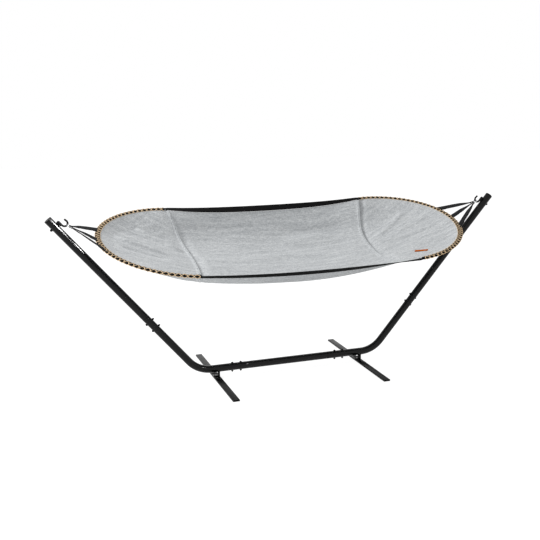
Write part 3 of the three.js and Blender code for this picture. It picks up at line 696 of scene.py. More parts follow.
# The rings are bright steel bar bent round and welded. Each hangs in the bottom of its hook, in the line
# of the straps' pull.
bright_steel, tree, shader, place = new_finish("bright_steel", metallic=1.0)
scuff = add_noise(tree, place.outputs["Object"], 260, 4, 0.6)
paint(tree, shader, scuff, (0.3, (0.66, 0.67, 0.69)), (0.7, (0.82, 0.83, 0.84)))
roughen(tree, shader, scuff, 0.14, 0.3)
add_bump(tree, shader, scuff, 0.05, 0.0003)

ring_radius = 0.0158
ring_wire = 0.0028
pull_angle = math.radians(35)
pull = Vector((-math.cos(pull_angle), 0, -math.sin(pull_angle)))
sideways = Vector((0, 1, 0))
ring_gap = 0.0024
ring_seat = hook_centre + pull * (hook_radius - hook_wire - ring_gap)
ring_centre = ring_seat + pull * (ring_radius - ring_wire)
ring = add_primitive(
    bpy.ops.mesh.primitive_torus_add,
    major_radius=ring_radius,
    minor_radius=ring_wire,
    major_segments=72,
    minor_segments=20,
    location=ring_centre,
    rotation=facing(pull.cross(sideways)),
)
weld_angle = math.radians(12)
weld_height = 0.0007
weld_width = 0.0045
weld_at = ring_centre + (sideways * math.cos(weld_angle) - pull * math.sin(weld_angle)) * ring_radius
for vertex in ring.data.vertices:
    away = (vertex.co - weld_at).length
    vertex.co += vertex.normal * weld_height * math.exp(-((away / weld_width) ** 2))
smooth(ring)
fit_both_ends(ring, "ring", "bed", bright_steel)

# The bed hangs between the rings, rolled a little towards the camera. Its outline is two nearly straight
# long sides between two half ellipses, each drawn to its ring. These are the curves that all its cloth,
# webbing and cord follow, in its own level frame.
bed_roll = math.radians(14.9)
bed_drop = 0.1307
bed_shift = -0.021
anchor_run = 0.035
bed_anchor = hook_centre + pull * anchor_run
bed_centre = Vector((0, bed_shift, bed_anchor.z - bed_drop))
bed_place = Matrix.Translation(bed_centre) @ Matrix.Rotation(bed_roll, 4, "X")
end_reach = 0.545
strap_room = 0.1715
flat_half = bed_anchor.x - strap_room - end_reach
half_width = 0.51
edge_bow = 0.01
edge_sag = 0.015
tip_shift = 0.05
tip_rise = 0.017
centre_depth = 0.23
seam_depth = 0.16
wall_steepness = 3.6
near_right_steepness = 1.8
end_fullness = 0.85
corner_reach = 0.022
seam_reach = flat_half + corner_reach
seam_curve = 0.09
seam_gap = 0.0008
band_width = 0.042
band_end_width = 0.03
lift_reach = 0.45
shift_reach = 0.08
corner_lifts = {"far": 0.04, "near_right": 0.016, "near_left": 0.0}
corner_shifts = {"far": 0.015, "near_right": 0.015, "near_left": -0.01}
rim_half_width = 0.019
corner_angle = math.acos(corner_reach / end_reach)
end_angle = corner_angle - 0.02


def rim_point(angle):
    """A point of the right rim's middle line, from -90 degrees at its near end to 90 at its far end."""
    reach = math.cos(angle)
    across = half_width * math.sin(angle) + tip_shift * reach
    return Vector((flat_half + end_reach * reach, across, tip_rise * reach))


def rim_tangent(angle):
    """The way that the rim runs at an angle."""
    return (rim_point(angle + 0.01) - rim_point(angle - 0.01)).normalized()


def shares_along(x):
    """How far a place is along the straight sides, and how far along the end beyond them, from 0 to 1."""
    return min(abs(x) / flat_half, 1), min(max((abs(x) - flat_half) / end_reach, 0), 1)


def section_at(x):
    """The bed's cross-section at a distance from its middle: middle line, half width, edge and floor."""
    share, beyond = shares_along(x)
    if beyond > 0:
        half = half_width * math.sqrt(1 - beyond * beyond)
        floor_height = tip_rise - (seam_depth + tip_rise) * (1 - beyond) ** end_fullness
        return tip_shift * beyond, half, tip_rise * beyond, floor_height
    flatness = 1 - share * share
    floor_height = -centre_depth + (centre_depth - seam_depth) * share * share
    return 0.0, half_width + edge_bow * flatness, -edge_sag * flatness, floor_height


def corner_of(x, across):
    """Which corner a place belongs to. The two far corners hang alike."""
    if across > 0:
        return "far"
    return "near_right" if x > 0 else "near_left"


def corner_share(x, power):
    """How much of a corner's own shape shows: all at a cross seam, and less towards the middle and end."""
    share, beyond = shares_along(x)
    return share ** power * (1 - beyond) ** 2


def edge_lift(x, across):
    """How much higher the cloth lies beside a long edge near its corners, where the edge band turns flat.
    The hump across it is highest, and 1, a third of the way in."""
    inward = min((1 - abs(across)) / lift_reach, 1)
    hump = 27 / 4 * inward * (1 - inward) ** 2
    return corner_lifts[corner_of(x, across)] * corner_share(x, 3) * hump


def edge_shift(x, across):
    """How far a long edge moves out near its corners, where the band meets the rim."""
    inward = min((1 - abs(across)) / lift_reach, 1)
    fade = max(1 - max((abs(x) - flat_half) / shift_reach, 0), 0) * (1 - inward) ** 2
    outward = 1 if across > 0 else -1
    return outward * corner_shifts[corner_of(x, across)] * corner_share(x, 4) * fade


def fabric_point(x, across):
    """A point of the fabric. The place across is -1 at the near edge and 1 at the far edge."""
    middle, half, edge, floor_height = section_at(x)
    steepness = wall_steepness
    if corner_of(x, across) == "near_right":
        steepness += (near_right_steepness - wall_steepness) * corner_share(x, 2)
    bowl = 1 - abs(across) ** steepness
    height = edge + (floor_height - edge) * bowl + edge_lift(x, across)
    return Vector((x, middle + across * half + edge_shift(x, across), height))


def fabric_at(x, y):
    """The point of the fabric over or under a place in plan."""
    middle, half = section_at(x)[:2]
    return fabric_point(x, max(-1, min(1, (y - middle) / max(half, 1e-6))))


def place_below_edge(x, distance, side=1):
    """The place across where the cloth lies a given distance down from a long edge."""
    step = 0.002
    across = 1.0
    gone = 0.0
    while gone < distance:
        gone += (fabric_point(x, side * across) - fabric_point(x, side * (across - step))).length
        across -= step
    return across


def seam_x(across):
    """A cross seam's distance from the middle. It bows towards the middle between its two corners."""
    return seam_reach - seam_curve * (1 - across * across)


middle_top = place_below_edge(0, band_width)
corner_top = {}
end_top = {}
for way in (-1, 1):
    for side in (-1, 1):
        corner_top[way, side] = place_below_edge(way * flat_half, band_end_width, side)
        rim_cover = rim_half_width + corner_shifts[corner_of(way, side)]
        end_top[way, side] = place_below_edge(way * seam_reach, rim_cover, side)


def panel_top(x, side):
    """The place across where the edge band ends and the panel shows."""
    share = min(abs(x) / flat_half, 1)
    return middle_top + (corner_top[1 if x > 0 else -1, side] - middle_top) * share ** 2


# The three panels are one heathered, light cool grey outdoor fabric. The centre panel hangs as a long
# trough between the edge bands, with soft folds along it. An end panel runs from each cross seam to the
# laced rim, with creases that fan out towards the ring.
fabric, tree, shader, place = new_finish(
    "heathered_fabric", roughness=0.92, specular_ior_level=0.25, sheen_weight=0.12, sheen_roughness=0.5
)
yarn = 0.0011


def add_stripes(tree, vector, direction, period, distortion=0.0):
    """Soft stripes, a given number of metres from one to the next."""
    inputs = {"Vector": vector, "Scale": 2 * math.pi / 20 / period, "Distortion": distortion, "Detail": 1.0}
    return add_node(tree, "TexWave", inputs, wave_type="BANDS", bands_direction=direction).outputs[1]


def add_math(tree, operation, first, second):
    return add_node(tree, "Math", {0: first, 1: second}, operation=operation).outputs[0]


def add_weave(tree, vector, across, along, distortion=0.6):
    """The height of a plain weave: yarns one way over yarns the other way."""
    warp = add_stripes(tree, vector, "X", across, distortion)
    weft = add_stripes(tree, vector, "Y", along, distortion)
    return add_math(tree, "MAXIMUM", warp, weft)


weave = add_weave(tree, place.outputs["UV"], yarn, yarn)
fleck = add_noise(tree, place.outputs["Object"], 420, 3, 0.75)
blot = add_noise(tree, place.outputs["Object"], 95, 4, 0.72)
streak_place = add_node(tree, "Mapping", {"Vector": place.outputs["UV"], "Scale": (26, 220, 1)})
streak = add_noise(tree, streak_place.outputs[0], 1.0, 4, 0.65)
# Long soft streaks along the cloth, lighter and darker, are painted into its colour as the shade of small
# lengthwise ripples. The fleck, fine streak and blot noises are the heathered yarn.
ripple_shade_place = add_node(tree, "Mapping", {"Vector": place.outputs["UV"], "Scale": (3.2, 42, 1)})
ripple_shade = add_noise(tree, ripple_shade_place.outputs[0], 1.0, 3, 0.6)
heather_and_ripple_shade = add_math(tree, "ADD", add_range(tree, fleck, -0.45, 0.45), add_range(tree, streak, -0.35, 0.35))
heather_and_ripple_shade = add_math(tree, "ADD", heather_and_ripple_shade, add_range(tree, blot, -0.3, 0.3))
heather_and_ripple_shade = add_math(tree, "ADD", heather_and_ripple_shade, add_range(tree, ripple_shade, 0.3, 0.68))
paint(
    tree,
    shader,
    heather_and_ripple_shade,
    (0.0, (0.32, 0.335, 0.35)),
    (0.5, (0.495, 0.513, 0.525)),
    (1.0, (0.69, 0.705, 0.71)),
)
add_bump(tree, shader, weave, 0.35, 0.0004)

# Each fold or crease runs from one place in plan to another, then has its height and its width.
centre_folds = [
    ((-0.70, 0.40), (-0.20, 0.39), -0.011, 0.035),
    ((0.00, 0.365), (0.62, 0.34), -0.012, 0.035),
    ((0.10, 0.215), (0.58, 0.19), -0.010, 0.035),
    ((-0.62, 0.06), (-0.02, 0.09), 0.009, 0.04),
    ((-0.05, 0.07), (0.44, 0.02), -0.010, 0.035),
]
right_folds = [
    ((0.73, 0.15), (1.03, 0.32), 0.016, 0.022),
    ((0.88, 0.13), (1.14, 0.185), 0.013, 0.02),
    ((0.74, 0.0), (1.14, 0.015), -0.013, 0.03),
    ((0.73, -0.09), (1.12, -0.15), 0.011, 0.026),
]
left_folds = [
    ((0.98, 0.34), (0.68, 0.155), 0.014, 0.02),
    ((1.14, 0.185), (0.78, 0.055), 0.014, 0.018),
    ((1.12, 0.06), (0.80, 0.0), -0.012, 0.028),
]
centre_creases = [
    ((-0.685, 0.455), (-0.24, 0.445), -0.0035, 0.016),
    ((-0.635, 0.405), (-0.295, 0.41), -0.003, 0.014),
    ((-0.5, 0.35), (-0.285, 0.355), -0.003, 0.014),
    ((0.07, 0.385), (0.635, 0.365), -0.005, 0.016),
    ((0.155, 0.29), (0.515, 0.25), -0.004, 0.015),
    ((0.015, 0.105), (0.37, 0.05), -0.003, 0.016),
    ((-0.6, -0.05), (-0.2, 0.0), 0.003, 0.02),
    ((0.1, -0.18), (0.6, -0.22), -0.003, 0.02),
]
right_creases = [
    ((0.745, 0.161), (0.975, 0.29), -0.004, 0.011),
    ((0.95, 0.148), (1.105, 0.175), -0.004, 0.01),
    ((0.735, 0.002), (1.115, 0.015), 0.003, 0.014),
    ((0.745, -0.094), (1.11, -0.142), -0.003, 0.014),
    ((0.9, 0.33), (1.02, 0.30), 0.003, 0.012),
]
left_creases = [
    ((0.94, 0.324), (0.675, 0.156), 0.004, 0.014),
    ((1.125, 0.179), (0.815, 0.067), 0.0045, 0.012),
    ((0.955, 0.353), (0.815, 0.395), 0.003, 0.012),
    ((1.11, 0.08), (0.86, 0.028), 0.0035, 0.012),
]


def fold_rise(folds, x, y):
    """How far the folds lift the cloth at a place in plan. Each fades across it and towards its ends."""
    rise = 0.0
    here = Vector((x, y))
    for start, end, height, width in folds:
        start, end = Vector(start), Vector(end)
        run = end - start
        share = max(0.0, min(1.0, (here - start).dot(run) / run.dot(run)))
        fade = min(1, 6 * share * (1 - share))
        rise += height * fade * math.exp(-(((here - start - run * share).length / width) ** 2))
    return rise


def lengthwise_ripple(x, y):
    """Small long ripples that run with the bed."""
    slow = noise.noise(Vector((x / 0.45, y / 0.06, 3.7)))
    fine = noise.noise(Vector((x / 0.2, y / 0.022, 9.1)))
    return 0.0032 * slow + 0.0013 * fine


fan_middle = 1.42


def fanned_ripple(x, y, seed):
    """Small ripples that fan out from the ring."""
    angle = math.atan2(y - tip_shift, fan_middle - abs(x))
    reach = math.hypot(y - tip_shift, fan_middle - abs(x))
    slow = noise.noise(Vector((angle * 14, reach / 0.35, seed)))
    fine = noise.noise(Vector((angle * 34, reach / 0.16, seed + 5)))
    return (0.0034 * slow + 0.0014 * fine) * min(1, reach / 0.5)


def edge_fade(distance, width):
    """0 on an edge and 1 from a given distance in."""
    share = max(0.0, min(1.0, distance / width))
    return share * share * (3 - 2 * share)


def make_sheet(name, columns, rows, flat, thickness, put, spread=lambda along: along):
    """A sheet of cloth from a fine grid. Each point is put where the cloth lies, by its two places from
    -1 to 1, and the UV map keeps the cut's own metres. Its thickness goes under it. The spread can set
    the grid's lines closer together beside a seam."""
    grid = bpy.ops.mesh.primitive_grid_add
    piece = add_primitive(grid, x_subdivisions=columns, y_subdivisions=rows, size=2, calc_uvs=True)
    piece.name = name
    for corner in piece.data.uv_layers.active.data:
        corner.uv = (spread(2 * corner.uv.x - 1) * flat[1] / 2, (corner.uv.y - 0.5) * flat[0])
    for vertex in piece.data.vertices:
        vertex.co = bed_place @ put(spread(vertex.co.x), vertex.co.y)
    apply_modifier(piece, "SOLIDIFY", thickness=thickness, offset=-1)
    return piece


fabric_thickness = 0.002
panel_flat = (1.08, 1.44)
panel_grid = (250, 150)
seam_step = 0.018
seam_rise = 0.003
welt_half_width = 0.008


def seam_channel(distance):
    """The hollow that runs beside a seam: steep next to its welt, and gone some way out."""
    return edge_fade(distance - welt_half_width, 0.008) - edge_fade(distance - welt_half_width, 0.075)


def on_centre_panel(along, place):
    """Where a point of the centre panel lies. The left seam's hollow is the deeper one on this panel, and
    no hollow reaches the steep near wall."""
    side = 1 if place > 0 else -1
    across = place * panel_top(along * seam_reach, side)
    x = along * (seam_x(across) - seam_gap / 2)
    point = fabric_point(x, across)
    to_seam = (1 - abs(along)) * seam_x(across)
    to_band = (1 - abs(place)) * half_width
    ripple = lengthwise_ripple(x, point.y) + fold_rise(centre_creases, x, point.y)
    point.z += fold_rise(centre_folds, x, point.y)
    point.z += ripple * edge_fade(to_seam, 0.05) * edge_fade(to_band, 0.03)
    depth = 0.7 * seam_step if along < 0 else seam_rise
    off_near_wall = 1 - edge_fade(-across - 0.4, 0.35)
    point.z -= depth * seam_channel(to_seam) * edge_fade(to_band, 0.05) * off_near_wall
    return point


def closer_at_both_ends(along):
    """Sets the grid's lines closer together towards both cross seams."""
    return 0.5 * along + 0.5 * math.sin(along * math.pi / 2)


centre_panel = make_sheet(
    "centre_panel", *panel_grid, panel_flat, fabric_thickness, on_centre_panel, closer_at_both_ends
)
face_out(centre_panel)
smooth(centre_panel, 60)
fit(centre_panel, "centre_panel", "bed", fabric)


rim_lap = 0.003
rim_drop = 0.001


def inside_rim(angle):
    """Where the cloth is laced to the inner side of the rim, in the bed's own frame."""
    tangent = rim_tangent(angle)
    inward = Vector((-tangent.y, tangent.x, 0)).normalized()
    return rim_point(angle) + inward * (rim_half_width - rim_lap) - Vector((0, 0, rim_drop))


end_columns = 110
end_rows = 130
rim_ends = [inside_rim((2 * row / end_rows - 1) * end_angle) for row in range(end_rows + 1)]
end_flat = (1.02, 0.56)


def on_end_panel(way, folds, creases, seed, depth):
    """Where the points of an end panel lie: the right one for way 1, and the left one for way -1. It gives
    back the function that puts them."""

    def put(along, place):
        across = place * end_top[way, 1 if place > 0 else -1]
        seam = fabric_point(way * (seam_x(across) + seam_gap / 2), across)
        rim = rim_ends[round((place + 1) / 2 * end_rows)].copy()
        rim.x *= way
        share = (way * along + 1) / 2
        plan = seam.lerp(rim, share)
        point = fabric_at(plan.x, plan.y)
        run = (rim - seam).length
        to_seam = share * run
        to_rim = (1 - share) * run
        point.z += (seam.z - fabric_at(seam.x, seam.y).z) * (1 - edge_fade(to_seam, 0.12))
        point.z += (rim.z - fabric_at(rim.x, rim.y).z) * (1 - edge_fade(to_rim, 0.10))
        ripple = fanned_ripple(point.x, point.y, seed) + fold_rise(creases, abs(point.x), point.y)
        point.z += fold_rise(folds, abs(point.x), point.y) * edge_fade(to_rim, 0.03)
        point.z += ripple * edge_fade(to_seam, 0.05) * edge_fade(to_rim, 0.04)
        point.z -= depth * seam_channel(to_seam) * edge_fade(to_rim, 0.05)
        return point

    return put


def closer_to_seam(way):
    """Sets the grid's lines closer together towards the cross seam."""
    return lambda along: way * (2 * ((way * along + 1) / 2) ** 1.35 - 1)


end_shapes = {
    "right": (1, right_folds, right_creases, 2.3, seam_step),
    "left": (-1, left_folds, left_creases, 7.9, seam_rise),
}
for side, shape in end_shapes.items():
    put = on_end_panel(*shape)
    spread = closer_to_seam(shape[0])
    end_panel = make_sheet(
        side + "_end_panel", end_columns, end_rows, end_flat, fabric_thickness, put, spread
    )
    face_out(end_panel)
    smooth(end_panel, 60)
    fit(end_panel, side + "_end_panel", "bed", fabric)


# Each cross seam is felled: a raised double welt of the same cloth, with a row of stitches in its groove.
# It runs across the bed from one corner of the rim to the other.
def cloth_frame(at, next_at, beside):
    """The line that a seam follows at a point of the cloth, its side and its upper normal."""
    along = (next_at - at).normalized()
    normal = along.cross(beside - at).normalized()
    if normal.z < 0:
        normal = -normal
    return along, along.cross(normal), normal


def add_detail(piece, name, finish):
    """Puts on a sewn detail that stands for no CAD node of its own."""
    piece.name = name
    piece.data.materials.clear()
    piece.data.materials.append(finish)
    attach(piece, "bed")
    return piece


stitch_radius = 0.0005


def make_stitches(name, rows, length, finish, frame_of=bed_place):
    """Rows of thread, one small eight-sided stitch at each (point, along, normal)."""
    points = []
    faces = []
    turned_frame = frame_of.to_3x3()
    for at, along, normal in rows:
        first = len(points)
        centre = frame_of @ at
        along = turned_frame @ along
        normal = turned_frame @ normal
        across = along.cross(normal)
        points += [
            centre - along * length / 2,
            centre - across * stitch_radius,
            centre + along * length / 2,
            centre + across * stitch_radius,
            centre + normal * stitch_radius,
            centre - normal * stitch_radius * 0.4,
        ]
        for i in range(4):
            j = (i + 1) % 4
            faces += [(first + i, first + j, first + 4), (first + j, first + i, first + 5)]
    shape = bpy.data.meshes.new(name)
    shape.from_pydata(points, [], faces)
    layer = shape.uv_layers.new(name="cut").data
    for loop in shape.loops:
        layer[loop.index].uv = points[loop.vertex_index].xy
    piece = bpy.data.objects.new(name, shape)
    bpy.context.scene.collection.objects.link(piece)
    face_out(piece)
    smooth(piece, 60)
    return add_detail(piece, name, finish)


def make_skin(name, *strands):
    """A closed skin through rings of points for each strand, with filled ends. Its UV map is in metres,
    round and along."""
    points = []
    faces = []
    corners = []
    for rings in strands:
        first = len(points)
        count = len(rings[0])
        middle = rings[len(rings) // 2]
        around = [0.0]
        for i in range(count):
            around.append(around[-1] + (middle[(i + 1) % count] - middle[i]).length)
        along = [0.0]
        for before, after in zip(rings, rings[1:]):
            along.append(along[-1] + sum((b - a).length for a, b in zip(before, after)) / count)
        for r in range(len(rings) - 1):
            here = first + r * count
            for i in range(count):
                j = (i + 1) % count
                faces.append((here + i, here + j, here + count + j, here + count + i))
                corners += [(around[i], along[r]), (around[i + 1], along[r])]
                corners += [(around[i + 1], along[r + 1]), (around[i], along[r + 1])]
        last = first + (len(rings) - 1) * count
        faces += [tuple(reversed(range(first, first + count))), tuple(range(last, last + count))]
        corners += [(0, 0)] * count + [(0, along[-1])] * count
        points += [point for ring in rings for point in ring]
    shape = bpy.data.meshes.new(name)
    shape.from_pydata(points, [], faces)
    for corner, uv in zip(shape.uv_layers.new(name="cut").data, corners):
        corner.uv = uv
    piece = bpy.data.objects.new(name, shape)
    bpy.context.scene.collection.objects.link(piece)
    face_out(piece)
    return piece


welt_steps = 260
welt_half_profile = [(0.25, 0.0026), (0.55, 0.004), (0.85, 0.0024), (1.0, 0.0)]
welt_profile = [(-side, rise) for side, rise in reversed(welt_half_profile)]
welt_profile += [(0.0, 0.0006), *welt_half_profile, (0.0, -0.0001)]


def seam_line(way):
    """The rings of a seam's welt, and a stitch at each."""
    low, high = -end_top[way, -1], end_top[way, 1]
    rings = []
    thread = []
    for step in range(welt_steps + 1):
        across = low + (high - low) * step / welt_steps
        x = way * seam_x(across)
        at = fabric_point(x, across)
        next_at = fabric_point(way * seam_x(across + 0.002), across + 0.002)
        along, side, normal = cloth_frame(at, next_at, fabric_point(x + 0.002, across))
        ring = []
        for offset, rise in welt_profile:
            ring.append(bed_place @ (at + side * offset * welt_half_width + normal * (rise + 0.0005)))
        rings.append(ring)
        thread.append((at + normal * 0.0014, along, normal))
    return rings, thread


seam_stitch = 0.0036
for side, way in (("right", 1), ("left", -1)):
    rings, thread = seam_line(way)
    welt = make_skin(side + "_seam_welt", rings)
    smooth(welt, 50)
    add_detail(welt, side + "_seam_welt", fabric)
    make_stitches(side + "_seam_stitches", thread, seam_stitch, fabric)

# The edge bands are flat black webbing. Each is folded over a long side of the centre panel and sewn down
# with a row of stitches near both of its edges.
webbing, tree, shader, place = new_finish("webbing", roughness=0.85, specular_ior_level=0.12)
ribs = add_stripes(tree, place.outputs["UV"], "Y", 0.0034, 0.3)
picks = add_stripes(tree, place.outputs["UV"], "X", 0.0016, 0.5)
web_height = add_math(tree, "MULTIPLY", ribs, add_range(tree, picks, 0.6, 1.0, 0.0, 1.0))
web_noise = add_noise(tree, place.outputs["Object"], 260, 3, 0.7)
# The raised ribs are painted lighter and the grooves between them darker, as painted shade, over a random
# tone.
painted_rib_shade = add_range(tree, web_height, 0.0, 0.6, 0.0, 1.0)
web_noise_and_rib_shade = add_math(tree, "ADD", painted_rib_shade, add_range(tree, web_noise, 0.0, 0.4))
along_bed = add_node(tree, "SeparateXYZ", {0: place.outputs["Object"]}).outputs[0]
from_middle = add_math(tree, "ABSOLUTE", along_bed, 0.0)
web_noise_and_rib_shade = add_math(tree, "MULTIPLY", web_noise_and_rib_shade, add_range(tree, from_middle, 0.1, 1.0, 1.0, 1.2))
paint(tree, shader, web_noise_and_rib_shade, (0.05, (0.0008, 0.0008, 0.0009)), (0.95, (0.034, 0.035, 0.037)))
add_bump(tree, shader, web_height, 0.6, 0.0006)

band_thickness = 0.004
band_flat = (band_width, 1.47)


def on_band(side):
    """Where the points of an edge band lie: the far one for side 1, and the near one for side -1."""

    def put(along, place):
        share = (place + 1) / 2
        across = 1 + (panel_top(along * seam_reach, side) + 0.001 - 1) * share
        return fabric_point(along * (seam_reach - 0.0002), side * across)

    return put


band_stitches = 285
band_stitch = 0.0036
for side, way in (("far", 1), ("near", -1)):
    put = on_band(way)
    band = make_sheet(side + "_edge_band", 160, 10, band_flat, band_thickness, put)
    face_out(band)
    soften_edges(band, 0.001, 2)
    smooth(band, 60)
    fit(band, side + "_edge_band", "bed", webbing)
    thread = []
    for share in (-0.82, 0.82):
        for step in range(band_stitches):
            along = (2 * step / (band_stitches - 1) - 1) * 0.992
            at = put(along, share)
            line, _, normal = cloth_frame(at, put(along + 0.001, share), put(along, share + 0.01))
            thread.append((at + normal * 0.0004, line, normal))
    make_stitches(side + "_band_stitches", thread, band_stitch, webbing)

# The rims run round both ends from corner to corner. Each is a thick, flat black braided cord that swells
# between its lacing: two pairs of flat beige cords wound round it in opposite directions, over and under.
rim_black, tree, shader, place = new_finish("rim_cord", roughness=0.9, specular_ior_level=0.08)
slanting = add_stripes(tree, place.outputs["UV"], "DIAGONAL", 0.003, 0.4)
straight = add_stripes(tree, place.outputs["UV"], "X", 0.0035, 0.4)
braid = add_math(tree, "MAXIMUM", slanting, straight)
# The braid's raised strands are painted lighter and its grooves darker, as painted shade.
paint(tree, shader, braid, (0.1, (0.0003, 0.0003, 0.0004)), (0.95, (0.0022, 0.0022, 0.0026)))
add_bump(tree, shader, braid, 0.6, 0.0005)

lacing, tree, shader, place = new_finish(
    "beige_lacing", roughness=0.85, specular_ior_level=0.25, sheen_weight=0.1
)
strands = add_stripes(tree, place.outputs["UV"], "DIAGONAL", 0.0024, 0.3)
fluff = add_noise(tree, place.outputs["Object"], 500, 3, 0.7)
# The raised strands are painted lighter, as painted highlight, and the grooves between them darker, as
# painted shade, over a random fluff tone.
painted_strand_shade = add_range(tree, strands, 0.0, 0.6, 0.0, 1.0)
fluff_and_strand_shade = add_math(tree, "ADD", painted_strand_shade, add_range(tree, fluff, 0.0, 0.4))
paint(
    tree,
    shader,
    fluff_and_strand_shade,
    (0.0, (0.42, 0.28, 0.15)),
    (0.45, (0.78, 0.56, 0.33)),
    (1.0, (0.93, 0.76, 0.52)),
)
add_bump(tree, shader, strands, 0.7, 0.0006)

lace_turns = 23
lace_half_width = 0.0022
lace_half_height = 0.0012
core_half_width = 0.0150
core_half_height = 0.0046
core_swell = 0.0014


def rim_frame(angle):
    """The rim's centre, its outward side and its upper side at an angle, in the bed's own frame."""
    tangent = rim_tangent(angle)
    outward = tangent.cross(upward).normalized()
    return rim_point(angle), outward, outward.cross(tangent)


def round_rim(angle, round_it, offset):
    """A point a given way out from the core's flat oval, and the direction that faces out there."""
    centre, outward, up = rim_frame(angle)
    reach = math.cos(round_it)
    rise = math.sin(round_it)
    at = centre + outward * reach * (core_half_width + offset) + up * rise * (core_half_height + offset)
    away = (outward * reach * core_half_height + up * rise * core_half_width).normalized()
    return bed_place @ at, bed_place.to_3x3() @ away


def lace_phase(share):
    """How far round the core a lacing cord has gone, at a share of the rim's length."""
    return 2 * math.pi * lace_turns * share


core_sides = 24
core_steps = lace_turns * core_sides
core_rings = []
for step in range(core_steps + 1):
    angle = (2 * step / core_steps - 1) * (corner_angle - 0.002)
    phase = lace_phase((angle / end_angle + 1) / 2)
    ring_points = []
    for side in range(core_sides):
        round_it = 2 * math.pi * side / core_sides
        clear_of_first = math.sin(round_it - phase - math.pi / 4) ** 2
        clear_of_second = math.sin(round_it + phase - math.pi / 4) ** 2
        ring_points.append(round_rim(angle, round_it, core_swell * clear_of_first * clear_of_second)[0])
    core_rings.append(ring_points)
rim_core = make_skin("rim_core", core_rings)
smooth(rim_core, 80)
fit_both_ends(rim_core, "rim_core", "bed", rim_black)


def lace_cord(direction, start):
    """One lacing cord. It lies along the flat sides and the edges, and crosses the others quickly between
    them, over one and under the next."""
    steps = lace_turns * 40
    path = []
    for step in range(steps + 1):
        share = step / steps
        phase = direction * lace_phase(share) + math.pi / 4 + start
        round_it = phase - 0.15 * math.sin(4 * phase)
        over = lace_half_height * 1.05 * (1 + direction * math.sin(2 * phase))
        path.append(round_rim((2 * share - 1) * end_angle, round_it, 0.8 * lace_half_height + over))
    rings = []
    for i, (at, away) in enumerate(path):
        along = (path[min(i + 1, steps)][0] - path[max(i - 1, 0)][0]).normalized()
        up = (away - along * away.dot(along)).normalized()
        across = along.cross(up)
        ring = []
        for corner in range(8):
            turned_by = math.pi * corner / 4
            wide = across * math.cos(turned_by) * lace_half_width
            high = up * math.sin(turned_by) * lace_half_height
            ring.append(at + wide + high)
        rings.append(ring)
    return rings


for node, direction in (("inner_lacing", 1), ("outer_lacing", -1)):
    cord = make_skin(node, lace_cord(direction, 0.0), lace_cord(direction, math.pi))
    smooth(cord, 80)
    fit_both_ends(cord, node, "bed", lacing)

# Three webbing straps fan out from each ring to the rim. Each is folded round the ring and sewn to itself,
# turns to lie along the rim, and is folded and sewn again round the rim's core, under the lacing.
strap_width = 0.038
strap_neck = 0.0072
strap_thickness = 0.0022
eye_radius = 0.0056
eye_gap = 0.0009
strap_lap = 0.075
strap_ply = 0.0012
run_start = 0.02
lap_stops = 11
eye_stops = 15
run_stops = 37
return_stops = 9
cross_rows = (9, 13, 28, 34)
strap_stitch = 0.003
stitch_lift = 0.0003


def strap_half_width(along):
    """A strap is gathered narrow at its ring and opens to its full width on the way out."""
    return (strap_neck + (strap_width - strap_neck) * edge_fade(along - 0.006, 0.1)) / 2


def strap_path(to_rim):
    """The strap's line from its sewn end, round the ring, out to the rim's core, and back for the second
    lap. Each stop is (along, thick, share of the turn to the rim's line)."""
    stops = [(strap_lap - step * 0.005, -strap_ply, 0.0) for step in range(lap_stops)]
    for step in range(eye_stops):
        angle = math.radians(-72 - 216 * step / (eye_stops - 1))
        stops.append((eye_radius * math.cos(angle), eye_radius * math.sin(angle), 0.0))
    last = to_rim - core_half_width + 0.003
    run = last - run_start
    for step in range(run_stops):
        share = step / (run_stops - 1)
        stops.append((run_start + run * share, strap_ply, edge_fade(share - 0.05, 0.6)))
    stops += [(last + 0.0011, 0.0004, 1.0), (last + 0.0011, -0.0004, 1.0)]
    stops += [(last - step * 0.006, -strap_ply, 1.0) for step in range(return_stops)]
    return stops


